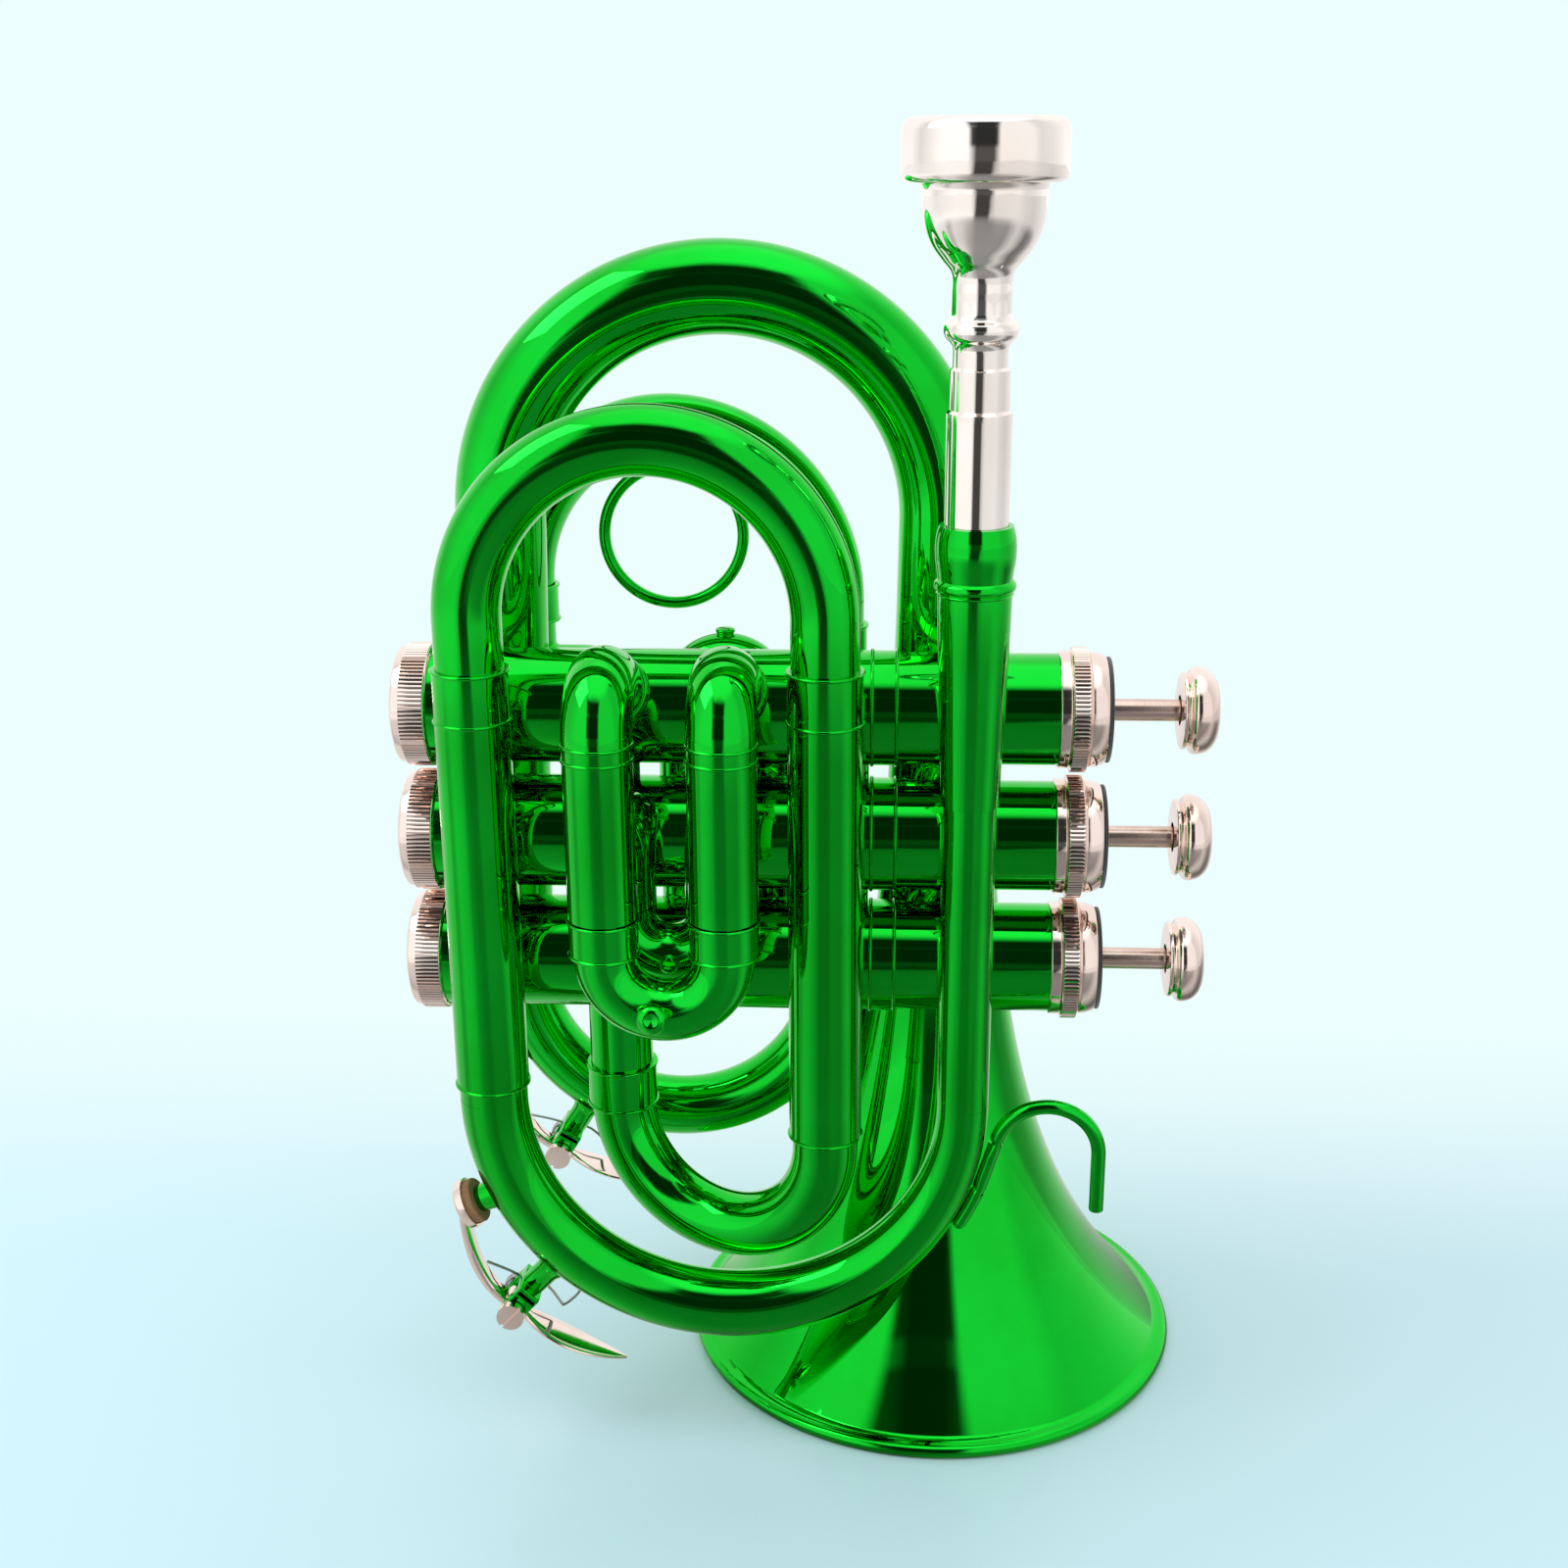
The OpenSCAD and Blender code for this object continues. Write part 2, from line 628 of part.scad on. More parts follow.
// Solder collar where a sleeve leaves its casing
module root_bead(x, i, dir, r) {
    axis = [x, valve_y, valve_z[i]];
    difference() {
        rod(axis + (casing_r - 2) * dir, axis + (casing_r + 1.3) * dir, r + 0.9, r + 0.5);
        rod(axis + (casing_r - 4) * dir, axis + (casing_r + 4) * dir, r + solder, r + solder);
        casing_body(i, solder);
    }
}

module second_slide_sleeves() {
    end_z = second_crook_z + second_ferrule + home_gap;
    color(green) for (side = [-1, 1])
        slide_elbow(first_x + side * second_half, 1, second_dir, second_y, end_z,
            short_sleeve_r, short_bend);
}

module third_slide_sleeves() {
    end_z = third_crook_z - third_ferrule - home_gap;
    color(green) for (side = [-1, 1])
        slide_elbow(third_x + side * third_half, 2, [0, 1, 0], third_y, end_z,
            slide_sleeve_r, third_bend);
}

// Crook of a slide: two inner legs, two ferrules and a bow, with a pull knob at its middle
module slide_crook(x, y, arc_z, half, leg_end, ferrule_len, ferrule_r, way) {
    bow_z = arc_z + way * half;
    left = [x - half, y, arc_z];
    right = [x + half, y, arc_z];
    color(green) difference() {
        union() {
            bar([left, [x - half, y, bow_z], [x + half, y, bow_z], right], half, crook_r);
            for (p = [left, right]) {
                rod(p, [p[0], y, arc_z - way * ferrule_len], ferrule_r, ferrule_r);
                rod(p, [p[0], y, leg_end], leg_r, leg_r);
            }
        }
        bar([[x - half, y, leg_end], [x - half, y, bow_z], [x + half, y, bow_z], [x + half, y, leg_end]],
            half, leg_r - wall, 1);
    }
}

module first_slide_crook() {
    low = first_crook_z - first_half;
    slide_crook(first_x, first_y, first_crook_z, first_half, valve_z[0] - 1, first_ferrule,
        slide_sleeve_r, -1);
    for (side = [-1, 1]) {
        color(green) line_crook(first_x + side * first_half, first_y, first_crook_z + line_r, slide_sleeve_r);
    }
    color(green) difference() {
        union() {
            rod([first_x - 1.5, first_y, low - 2], [first_x - 1.5, first_y - crook_r - 1.6, low - 4.6],
                1.3, 1.3);
            translate([first_x - 1.5, first_y - crook_r - 1.6, low - 4.6]) sphere(2.3);
        }
        bar([[first_x - first_half, first_y, first_crook_z], [first_x - first_half, first_y, low],
            [first_x + first_half, first_y, low], [first_x + first_half, first_y, first_crook_z]],
            first_half, crook_r - 0.1);
    }
}

// Fine line round a crook's leg, clear of the leg itself
module line_crook(x, y, z, r) {
    difference() {
        line_ring(x, y, z, r);
        translate([x, y, z - 1]) cylinder(h = 2, r = r - 0.1);
    }
}

module second_slide_crook() {
    low = second_crook_z - second_half;
    slide_crook(first_x, second_y, second_crook_z, second_half, second_leg_top, second_ferrule,
        short_sleeve_r, -1);
    color(green) translate([first_x, second_y, low]) rotate([90, 0, 0])
        translate([0, 0, crook_r - 0.8]) cylinder(h = 1.8, r = 1.8);
}

module third_slide_crook() {
    slide_crook(third_x, third_y, third_crook_z, third_half, valve_z[2] + third_bend + 3, third_ferrule,
        slide_sleeve_r, 1);
    color(green) translate([third_x, third_y, third_crook_z + third_half + crook_r - 0.8])
        cylinder(h = 2.4, r = 1.9);
}

// Piston: a closed shell with cross passages and a narrower barrel towards the button
module piston(i) {
    shell = 0.8;
    end_wall = 1.5;
    bore = leg_r - wall;
    passages = [for (k = [0:2]) piston_bottom_x + first_passage + k * passage_pitch];
    color(nickel) translate([0, valve_y, valve_z[i]]) difference() {
        union() {
            rotate([0, 90, 0]) difference() {
                union() {
                    translate([0, 0, piston_bottom_x]) cylinder(h = piston_length, r = piston_r);
                    translate([0, 0, piston_top_x]) cylinder(h = barrel_top_x - piston_top_x, r = barrel_r);
                }
                translate([0, 0, piston_bottom_x + end_wall])
                    cylinder(h = piston_length - 2 * end_wall, r = piston_r - shell);
                translate([0, 0, piston_top_x + end_wall])
                    cylinder(h = barrel_top_x - piston_top_x - 2 * end_wall, r = barrel_r - shell);
                translate([0, 0, barrel_top_x - stem_seat])
                    cylinder(h = stem_seat + 1, r = stem_rod_r + solder);
            }
            // Walls of the passages, which end inside the shell
            intersection() {
                translate([piston_bottom_x, 0, 0]) rotate([0, 90, 0])
                    cylinder(h = piston_length, r = piston_r - shell / 2);
                for (x = passages) translate([x, 0, 0]) rotate([90, 0, 0])
                    cylinder(h = 2 * piston_r, r = bore + 0.5, center = true);
            }
        }
        for (x = passages) translate([x, 0, 0]) rotate([90, 0, 0])
            cylinder(h = 4 * piston_r, r = bore, center = true);
    }
}

module valve_stem(i) {
    color(nickel) rod([barrel_top_x - stem_seat + solder, valve_y, valve_z[i]],
        [button_x + 1.5, valve_y, valve_z[i]], stem_rod_r, stem_rod_r);
}

// Finger button: thin flange, groove and a rounded head
module finger_button(i) {
    color(nickel) translate([button_x, valve_y, valve_z[i]]) rotate([0, 90, 0]) difference() {
        rotate_extrude() polygon([
            [0, 0], [button_r - 2.2, 0], [button_r - 1, 0.35], [button_r - 0.8, 0.9], [button_r - 1.3, 1.3],
            [button_r - 1.4, 1.7], [button_r - 0.2, 1.9], [button_r, 2.3], [button_r, 3.6],
            [button_r - 0.4, 4.7], [button_r - 1.2, 5.7], [button_r - 2.2, 6.4], [button_r - 2.7, 6.6],
            [button_r - 3, 6.3], [0, 6]
        ]);
        translate([0, 0, -1]) cylinder(h = 2.6, r = stem_rod_r + solder);
    }
}

// Spring between the bottom cap and the piston, as a thin tube of its outer and inner size
module valve_spring(i) {
    from = cap_bottom_x + 1.5 + solder;
    color(nickel) translate([from, valve_y, valve_z[i]]) rotate([0, 90, 0]) difference() {
        cylinder(h = piston_bottom_x - from - solder, r = 6.6);
        translate([0, 0, -1]) cylinder(h = piston_bottom_x - from + 2, r = 5.8);
    }
}

// Left quarter of the big bow, of full width, with the nipple of the water key
module main_bow() {
    color(green) difference() {
        union() {
            translate([main_mid_x, front_y, main_arc_z]) rotate([90, 0, 0]) rotate([0, 0, 180])
                rotate_extrude(angle = 90) translate([main_bend, 0]) difference() {
                    circle(main_r);
                    circle(main_r - wall);
                }
            key_nipple(main_mid_x, front_y, main_arc_z, main_key_angle, main_bend, main_r);
        }
        key_nipple_bore(main_mid_x, front_y, main_arc_z, main_key_angle, main_bend, main_r);
    }
}

// Radius of the narrowing quarter, t running from the bottom to the leadpipe
function taper_r(t) = main_r + (lead_r - main_r) * (3 * t * t - 2 * t * t * t);

// Right quarter of the big bow, which narrows into the leadpipe
module main_bow_taper() {
    sides = 32;
    rings = 20;
    function ring(t, thin) = [for (s = [0:sides - 1]) let (a = 270 + 90 * t, b = 360 * s / sides,
        reach = main_bend + (taper_r(t) - thin) * cos(b))
        [main_mid_x + reach * cos(a), front_y + (taper_r(t) - thin) * sin(b), main_arc_z + reach * sin(a)]];
    rows = rings + 1;
    outer = [for (k = [0:rings]) each ring(k / rings, 0)];
    inner = [for (k = [0:rings]) each ring(k / rings, wall)];
    count = rows * sides;
    side_faces = [for (k = [0:rings - 1], s = [0:sides - 1]) let (n = (s + 1) % sides, a = k * sides)
        each [[a + s, a + n, a + sides + n], [a + s, a + sides + n, a + sides + s]]];
    inner_faces = [for (f = side_faces) [f[2] + count, f[1] + count, f[0] + count]];
    end_faces = [for (s = [0:sides - 1]) let (n = (s + 1) % sides, a = rings * sides)
        each [[s, s + count, n + count], [s, n + count, n],
            [a + s, a + n, a + n + count], [a + s, a + n + count, a + s + count]]];
    color(green) polyhedron(points = concat(outer, inner),
        faces = concat(side_faces, inner_faces, end_faces));
}

module main_inner_leg() {
    color(green) {
        upright(left_x, front_y, main_arc_z, main_leg_top, main_leg_r, main_leg_r - wall);
        upright(left_x, front_y, main_arc_z, left_end_z - home_gap, main_r, main_leg_r - eps);
    }
}

module leadpipe() {
    color(green) upright(lead_x, front_y, main_arc_z, lead_top, lead_r, lead_r - wall);
}

// Points of an arc in the plane of the big bow
function arc_points(x, z, r, from, to, n) = [for (i = [0:n]) let (a = from + (to - from) * i / n)
    [x + r * cos(a), front_y, z + r * sin(a)]];

// Hook for the little finger: a foot along the bow's outside, then a half-round crook
module finger_hook() {
    foot_angle = 31;
    hook_bend = 9.6;
    bow_out = main_bend + taper_r(1 - foot_angle / 90) + hook_r + solder;
    end_x = lead_x + 25.3;
    mid_x = end_x - hook_bend;
    mid_z = main_arc_z - 10;
    foot = arc_points(main_mid_x, main_arc_z, bow_out, -foot_angle, -foot_angle + 11, 4);
    color(green) wire(concat(foot, arc_points(mid_x, mid_z, hook_bend, 168, 0, 14),
        [[end_x, front_y, mid_z - 11.8]]), hook_r);
}

// Short tube under a water key's cork
module key_nipple(mid_x, y, mid_z, pivot_angle, bend, r) {
    on_bow(mid_x, y, mid_z, pivot_angle - key_swing(bend + r)) difference() {
        translate([bend + r - 1, 0, 0]) rotate([0, 90, 0]) cylinder(h = nipple_h + 1, r = 2.6);
        rotate_extrude() translate([bend, 0]) circle(r - 0.2);
    }
}

module key_nipple_bore(mid_x, y, mid_z, pivot_angle, bend, r) {
    on_bow(mid_x, y, mid_z, pivot_angle - key_swing(bend + r))
        translate([bend, 0, 0]) rotate([0, 90, 0]) cylinder(h = r + nipple_h + 1, r = 1.6);
}

// Angle about the bow's centre between a water key's pivot and its cork
function key_swing(surface) = asin(key_reach / (surface + nipple_h));

// Saddle of a water key: a post on the bow with two cheeks
module key_saddle(bend, r) {
    surface = bend + r;
    color(green) difference() {
        union() {
            translate([surface - 2, -2.3, -2.3]) cube([key_pivot_h - 3 + 2 - 0.5, 4.6, 4.6]);
            for (side = [-1, 1]) translate([surface + key_pivot_h - 5, -2.3, side * 3.4 - 1])
                cube([5, 4.6, 2]);
            for (side = [-1, 1]) translate([surface + key_pivot_h, 0, side * 3.4 - 1])
                cylinder(h = 2, r = 2.3);
            translate([surface + key_pivot_h - 5.2, -2.3, -4.4]) cube([1.8, 4.6, 8.8]);
        }
        rotate_extrude() translate([bend, 0]) circle(r + solder);
        translate([surface + key_pivot_h, 0, -6]) cylinder(h = 12, r = key_screw_r + solder);
    }
}

// Pivot screw with a slotted head on the front side
module key_screw(surface) {
    color(nickel) translate([surface + key_pivot_h, 0, -4.6]) difference() {
        union() {
            cylinder(h = 9.2, r = key_screw_r);
            translate([0, 0, 9.2]) cylinder(h = 1.7, r = 2.6);
        }
        translate([-3, -0.3, 10.2]) cube([6, 0.6, 1]);
    }
}

// Points of a smooth curve through a start, a pulling point and an end
function curve(a, b, c, n) = [for (i = [0:n]) let (t = i / n)
    (1 - t) * (1 - t) * a + 2 * t * (1 - t) * b + t * t * c];
// The same curve moved sideways by d
function shifted(p, d) = [for (i = [0:len(p) - 1]) let (
    v = p[min(i + 1, len(p) - 1)] - p[max(i - 1, 0)])
    p[i] + d * [-v[1], v[0]] / norm(v)];
function reversed(p) = [for (i = [len(p) - 1:-1:0]) p[i]];

// Flat strip of even thickness along a curve
module strip(p, t) {
    polygon(concat(shifted(p, t / 2), reversed(shifted(p, -t / 2))));
}

// Water key lever: cork cup, arm, barrel on the screw and a leaf for the finger
module water_key(surface) {
    pivot = surface + key_pivot_h;
    swing = key_swing(surface);
    cup = surface + nipple_h;
    back = cork_t + 1.6;
    arm_start = (cup + back - 0.4) * [cos(swing), -sin(swing)];
    tip = [pivot - 2.3, key_plate];
    color(nickel) {
        difference() {
            union() {
                translate([0, 0, -1.6]) linear_extrude(3.2)
                    strip(curve(arm_start, [pivot + 1.5, -7], [pivot, -1.2], 10), 1.5);
                translate([pivot, 0, -2.2]) cylinder(h = 4.4, r = 2.1);
                translate([0, 0, -1.6]) linear_extrude(3.2)
                    strip(curve([pivot, 1.2], [pivot + 1.8, 9], tip, 10), 1.4);
                intersection() {
                    translate([0, 0, -5]) linear_extrude(10)
                        strip(curve([pivot, 1.2], [pivot + 1.8, 9], tip, 10), 1.4);
                    translate([pivot - 8, key_plate * 0.66, 0]) rotate([0, 90, 0])
                        scale([0.5, 1, 1]) cylinder(h = 16, r = key_plate * 0.36);
                }
            }
            translate([pivot, 0, -6]) cylinder(h = 12, r = key_screw_r + key_clearance);
        }
        rotate([0, 0, -swing]) translate([cup + cork_t - 0.8, 0, 0]) rotate([0, 90, 0]) difference() {
            cylinder(h = 2.4, r = key_cup_r);
            translate([0, 0, -1]) cylinder(h = 1.8, r = key_cup_r - 0.5);
        }
    }
    color("peru") rotate([0, 0, -swing]) translate([cup + solder, 0, 0]) rotate([0, 90, 0])
        cylinder(h = cork_t - solder, r = key_cup_r - 0.5 - solder);
}

// Mouthpiece: rim, cup, neck and tapered shank, with cup, throat and backbore inside
module mouthpiece() {
    t = mouth_top;
    r = mouth_rim_r;
    tip_z = receiver_top - shank_depth;
    cup_end = t - 24.2;
    // Height on the neck, as a share of the way from the receiver to the cup
    function neck(share) = receiver_top + share * (cup_end - receiver_top);
    outline = [
        [r - 4.6, t - 0.9], [r - 3.6, t - 0.15], [r - 2.7, t], [r - 1.2, t - 0.25], [r - 0.4, t - 0.8],
        [r, t - 1.8], [r, t - 8.6], [r - 0.35, t - 9.5], [r - 1.2, t - 9.9], [r - 3.2, t - 10.1],
        [r - 3.3, t - 12], [r - 3.4, t - 14.5], [r - 4, t - 17.2], [r - 5, t - 19.4],
        [r - 6.6, t - 21.6], [r - 7.9, t - 23],
        [4.95, cup_end], [4.85, neck(0.842)], [5.3, neck(0.827)], [6, neck(0.807)], [6.1, neck(0.783)],
        [5.8, neck(0.758)], [4.9, neck(0.736)], [4.5, neck(0.719)], [4.5, neck(0.64)], [4.95, neck(0.627)],
        [4.95, neck(0.472)], [5.5, neck(0.457)], [5.5, neck(0.437)], [shank_r + 0.05, neck(0.427)],
        [shank_r, receiver_top], [shank_tip_r, tip_z], [4, tip_z], [2.6, neck(0.462)],
        [1.9, cup_end], [1.9, t - 19], [3, t - 15.5], [5.5, t - 12.5], [7.4, t - 9],
        [8.3, t - 5], [8.6, t - 2]
    ];
    color(nickel) translate([lead_x, front_y, 0]) rotate_extrude() polygon(outline);
}

// Sizes shared by the pieces above
main_leg_r = 5.7;
lead_bore = lead_r + slide_clearance;
shank_tip_r = 4.95;
receiver_length = 49.2;
receiver_head = 10.2;
sleeve_pad_r = 5.6;
casing_thread_r = 9.65;
cap_length = 8.8;
felt_t = 0.6;
button_x = casing_top_x + cap_length + felt_t + stroke + 0.3;
piston_bottom_x = cap_bottom_x + 20;
piston_length = 54;
piston_top_x = piston_bottom_x + piston_length;
first_passage = 12;
passage_pitch = 14.5;
stem_seat = 2;
barrel_r = 6.5;
barrel_top_x = casing_top_x + cap_length - 1.9;
knuckle_x = [-61.5, -39.5];
elbow_bend = 9;
elbow_tilt = 30;
short_bend = 6.2;
short_tilt = 30;
third_bend = 7;
first_dir = [0, -cos(elbow_tilt), sin(elbow_tilt)];
second_dir = [0, -cos(short_tilt), sin(short_tilt)];
first_ferrule = 6.8;
second_ferrule = 1.2;
third_ferrule = 6.8;
second_leg_top = valve_z[1] - 1.4;
nipple_h = 2.6;
cork_t = 2.2;
key_screw_r = 1.1;
main_key_angle = 226.7;
rear_key_angle = 238.4;

bell();
bell_bow();
bell_tail();
rear_bow();
rear_tube();
return_bow();
first_valve_link();
left_sleeve_tube();
front_bow();
front_tube();
lower_bow();
lower_bow_leg();
third_valve_inlet();
mouthpiece_receiver();
tube_ferrules();
body_braces();
finger_ring();
valve_casing(0);  // valve_casing_1
valve_casing(1);  // valve_casing_2
valve_casing(2);  // valve_casing_3
valve_knuckles();
bottom_cap(0);  // bottom_cap_1
bottom_cap(1);  // bottom_cap_2
bottom_cap(2);  // bottom_cap_3
top_cap(0);  // top_cap_1
top_cap(1);  // top_cap_2
top_cap(2);  // top_cap_3
cap_felts();
first_slide_sleeves();
second_slide_sleeves();
third_slide_sleeves();
on_bow(rear_mid_x, 0, rear_arc_z, rear_key_angle) key_saddle(rear_bend, tube_r);  // rear_key_saddle
on_bow(rear_mid_x, 0, rear_arc_z, rear_key_angle) key_screw(rear_bend + tube_r);  // rear_key_screw
piston(0);  // piston_1
piston(1);  // piston_2
piston(2);  // piston_3
valve_stem(0);  // valve_stem_1
valve_stem(1);  // valve_stem_2
valve_stem(2);  // valve_stem_3
finger_button(0);  // finger_button_1
finger_button(1);  // finger_button_2
finger_button(2);  // finger_button_3
valve_spring(0);  // valve_spring_1
valve_spring(1);  // valve_spring_2
valve_spring(2);  // valve_spring_3
first_slide_crook();
second_slide_crook();
third_slide_crook();
main_bow();
main_bow_taper();
main_inner_leg();
leadpipe();
finger_hook();
on_bow(main_mid_x, front_y, main_arc_z, main_key_angle) key_saddle(main_bend, main_r);  // main_key_saddle
on_bow(main_mid_x, front_y, main_arc_z, main_key_angle) key_screw(main_bend + main_r);  // main_key_screw
on_bow(main_mid_x, front_y, main_arc_z, main_key_angle) water_key(main_bend + main_r);  // main_water_key
on_bow(rear_mid_x, 0, rear_arc_z, rear_key_angle) water_key(rear_bend + tube_r);  // rear_water_key
mouthpiece();
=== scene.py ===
"""Looks of a pocket trumpet: green lacquered brass, nickel-plated caps and a silver-plated mouthpiece."""

from collections import namedtuple
import json
import math

import bmesh
import bpy
from mathutils import Matrix, Vector


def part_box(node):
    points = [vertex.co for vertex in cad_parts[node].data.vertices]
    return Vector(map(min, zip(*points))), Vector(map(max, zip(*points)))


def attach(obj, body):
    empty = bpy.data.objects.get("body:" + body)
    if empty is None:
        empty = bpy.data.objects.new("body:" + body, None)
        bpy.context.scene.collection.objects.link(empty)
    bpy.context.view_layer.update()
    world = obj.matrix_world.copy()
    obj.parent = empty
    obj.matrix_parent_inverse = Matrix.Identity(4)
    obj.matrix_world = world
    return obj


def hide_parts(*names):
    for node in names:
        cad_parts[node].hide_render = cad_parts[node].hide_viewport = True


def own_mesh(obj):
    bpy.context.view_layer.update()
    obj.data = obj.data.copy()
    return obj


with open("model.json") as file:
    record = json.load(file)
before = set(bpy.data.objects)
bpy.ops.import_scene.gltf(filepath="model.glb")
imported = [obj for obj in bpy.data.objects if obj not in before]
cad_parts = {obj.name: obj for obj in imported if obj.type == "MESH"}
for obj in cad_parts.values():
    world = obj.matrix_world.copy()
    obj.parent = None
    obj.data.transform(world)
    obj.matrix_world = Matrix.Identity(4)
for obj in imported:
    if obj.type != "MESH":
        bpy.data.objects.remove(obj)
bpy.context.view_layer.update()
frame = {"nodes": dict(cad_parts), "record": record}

MM = 0.001
UP = Vector((0, 0, 1))
EAST = Vector((1, 0, 0))
BODY = "horn_body"
MAIN = "main_slide"

# Outer radii of the tubes and turned parts, in millimetres
TUBE_R = 6.05
SLEEVE_R = 6.65
SLIDE_SLEEVE_R = 6.1
SHORT_SLEEVE_R = 5.7
CROOK_R = 5.45
LEG_R = 5.1
MAIN_R = 6.25
MAIN_LEG_R = 5.7
LEAD_R = 4.75
LINK_R = 5.8
CASING_R = 10.5
THREAD_R = 9.65
KNURL_R = 11.3

# Walls, fine lines, joints and the steps of round shapes
WALL = 0.6
LINE_R = 0.32
SLIDING_FIT = 0.05
SOLDER = 0.02
HOME_GAP = 0.3
SIDES = 72
RIDGES = 92

# Water keys: from the bow's wall to the pivot, along the bow to the cork and to the leaf's end
KEY_PIVOT = 10.9
KEY_REACH = 19.3
KEY_LEAF = 24.5
KEY_CUP_R = 4.8
NIPPLE_H = 2.6
CORK_T = 2.2


def box_mm(node):
    """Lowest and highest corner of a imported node, in millimetres."""
    low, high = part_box(node)
    return low / MM, high / MM


def middle(node):
    low, high = box_mm(node)
    return (low + high) / 2


def at(x, y, z):
    return Vector((x, y, z))


class Value:
    """A shader value: arithmetic on it adds Math nodes."""

    def __init__(self, tree, socket):
        self.tree = tree
        self.socket = socket

    def _math(self, operation, first, second):
        node = self.tree.nodes.new("ShaderNodeMath")
        node.operation = operation
        for place, value in enumerate((first, second)):
            if isinstance(value, Value):
                self.tree.links.new(value.socket, node.inputs[place])
            else:
                node.inputs[place].default_value = value
        return Value(self.tree, node.outputs[0])

    def __add__(self, other):
        return self._math("ADD", self, other)

    def __sub__(self, other):
        return self._math("SUBTRACT", self, other)

    def __rsub__(self, other):
        return self._math("SUBTRACT", other, self)

    def __mul__(self, other):
        return self._math("MULTIPLY", self, other)

    def __truediv__(self, other):
        return self._math("DIVIDE", self, other)

    __radd__ = __add__
    __rmul__ = __mul__


class Shader:
    """The node tree of one material or of the world."""

    def __init__(self, tree):
        self.tree = tree
        tree.nodes.clear()

    def add(self, kind, settings=None, sockets=None, output=0):
        """Adds a node, with its settings first and then the values or links of its sockets."""
        node = self.tree.nodes.new(kind)
        for key, value in (settings or {}).items():
            if key == "stops":
                ramp = node.color_ramp
                for place, (position, colour) in enumerate(value):
                    stop = ramp.elements[place] if place < 2 else ramp.elements.new(position)
                    stop.position = position
                    stop.color = colour
            else:
                setattr(node, key, value)
        for key, value in (sockets or {}).items():
            if isinstance(value, Value):
                self.tree.links.new(value.socket, node.inputs[key])
            else:
                node.inputs[key].default_value = value
        return Value(self.tree, node.outputs[output]) if node.outputs else None

    def finish(self, result):
        """Sends a shader to the material's output."""
        output = self.tree.nodes.get("result") or self.tree.nodes.new("ShaderNodeOutputMaterial")
        output.name = "result"
        self.tree.links.new(result.socket, output.inputs["Surface"])

    def feed(self, name, value):
        """Links a value to a socket of the material's Principled shader."""
        self.tree.links.new(value.socket, self.principled.inputs[name])

    def relief(self, height, distance, strength=1.0):
        """A bump of a real height in metres."""
        sockets = {"Strength": strength, "Distance": distance, "Height": height}
        self.feed("Normal", self.add("ShaderNodeBump", sockets=sockets))

    def place(self):
        return self.add("ShaderNodeTexCoord", output="Object")

    def noise(self, scale, detail=3.0, roughness=0.5, stretch=(1, 1, 1)):
        where = self.add("ShaderNodeMapping", sockets={"Vector": self.place(), "Scale": stretch})
        sockets = {"Vector": where, "Scale": scale, "Detail": detail, "Roughness": roughness}
        return self.add("ShaderNodeTexNoise", sockets=sockets)

    def blend(self, factor, first, second):
        """Mixes two colours by a factor."""
        sockets = {"Factor": factor, 6: first, 7: second}
        return self.add("ShaderNodeMix", {"data_type": "RGBA"}, sockets, output=2)

    def axes(self, vector):
        """The three numbers of a vector."""
        split = self.add("ShaderNodeSeparateXYZ", sockets={"Vector": vector}).socket.node
        return [Value(self.tree, output) for output in split.outputs]

    def levels(self, azimuth, stops):
        """Brightness by compass angle in degrees, from straight in front (0) round to the left and right."""
        grey = [((angle + 180) / 360, (level, level, level, 1.0)) for angle, level in stops]
        return self.add("ShaderNodeValToRGB", {"stops": grey}, {"Fac": azimuth})

    def azimuth(self, x, y):
        """Compass angle round the object as a share of the full turn: 0.5 is in front, 0.25 left."""
        angle = self.add("ShaderNodeMath", {"operation": "ARCTAN2"}, {0: x, 1: y * -1.0})
        return angle / math.tau + 0.5

    def between(self, value, low, high):
        """Smooth step of a value, from 0 at low to 1 at high."""
        sockets = {"Value": value, "From Min": low, "From Max": high}
        return self.add("ShaderNodeMapRange", {"interpolation_type": "SMOOTHSTEP"}, sockets)


def rgb(red, green, blue):
    """A colour written in screen values from 0 to 255, as the shader's linear light."""

    def linear(value):
        value /= 255
        return value / 12.92 if value <= 0.04045 else ((value + 0.055) / 1.055) ** 2.4

    return (linear(red), linear(green), linear(blue), 1.0)


def surface(name, **constant):
    """A new material with one Principled shader; constant values go on its own sockets."""
    material = bpy.data.materials.new(name)
    material.use_nodes = True
    shader = Shader(material.node_tree)
    shiny = shader.add("ShaderNodeBsdfPrincipled", sockets=constant)
    shader.principled = shiny.socket.node
    shader.finish(shiny)
    return material, shader


def lacquer(name, deep, bright):
    """Clear coloured lacquer over polished brass, with a little pooling and faint handling haze."""
    coat = {"Coat Weight": 0.12, "Coat Roughness": 0.02, "Coat IOR": 1.5}
    material, shader = surface(name, Metallic=1.0, **coat)
    pooling = shader.noise(34.0, 4.0)
    haze = shader.noise(160.0, 5.0, 0.62)
    shader.feed("Base Color", shader.blend(shader.between(pooling, 0.3, 0.7), deep, bright))
    shader.feed("Roughness", 0.025 + 0.035 * shader.between(haze, 0.45, 0.8))
    shader.relief(shader.noise(420.0, 2.0), 0.00001, 0.18)
    return material


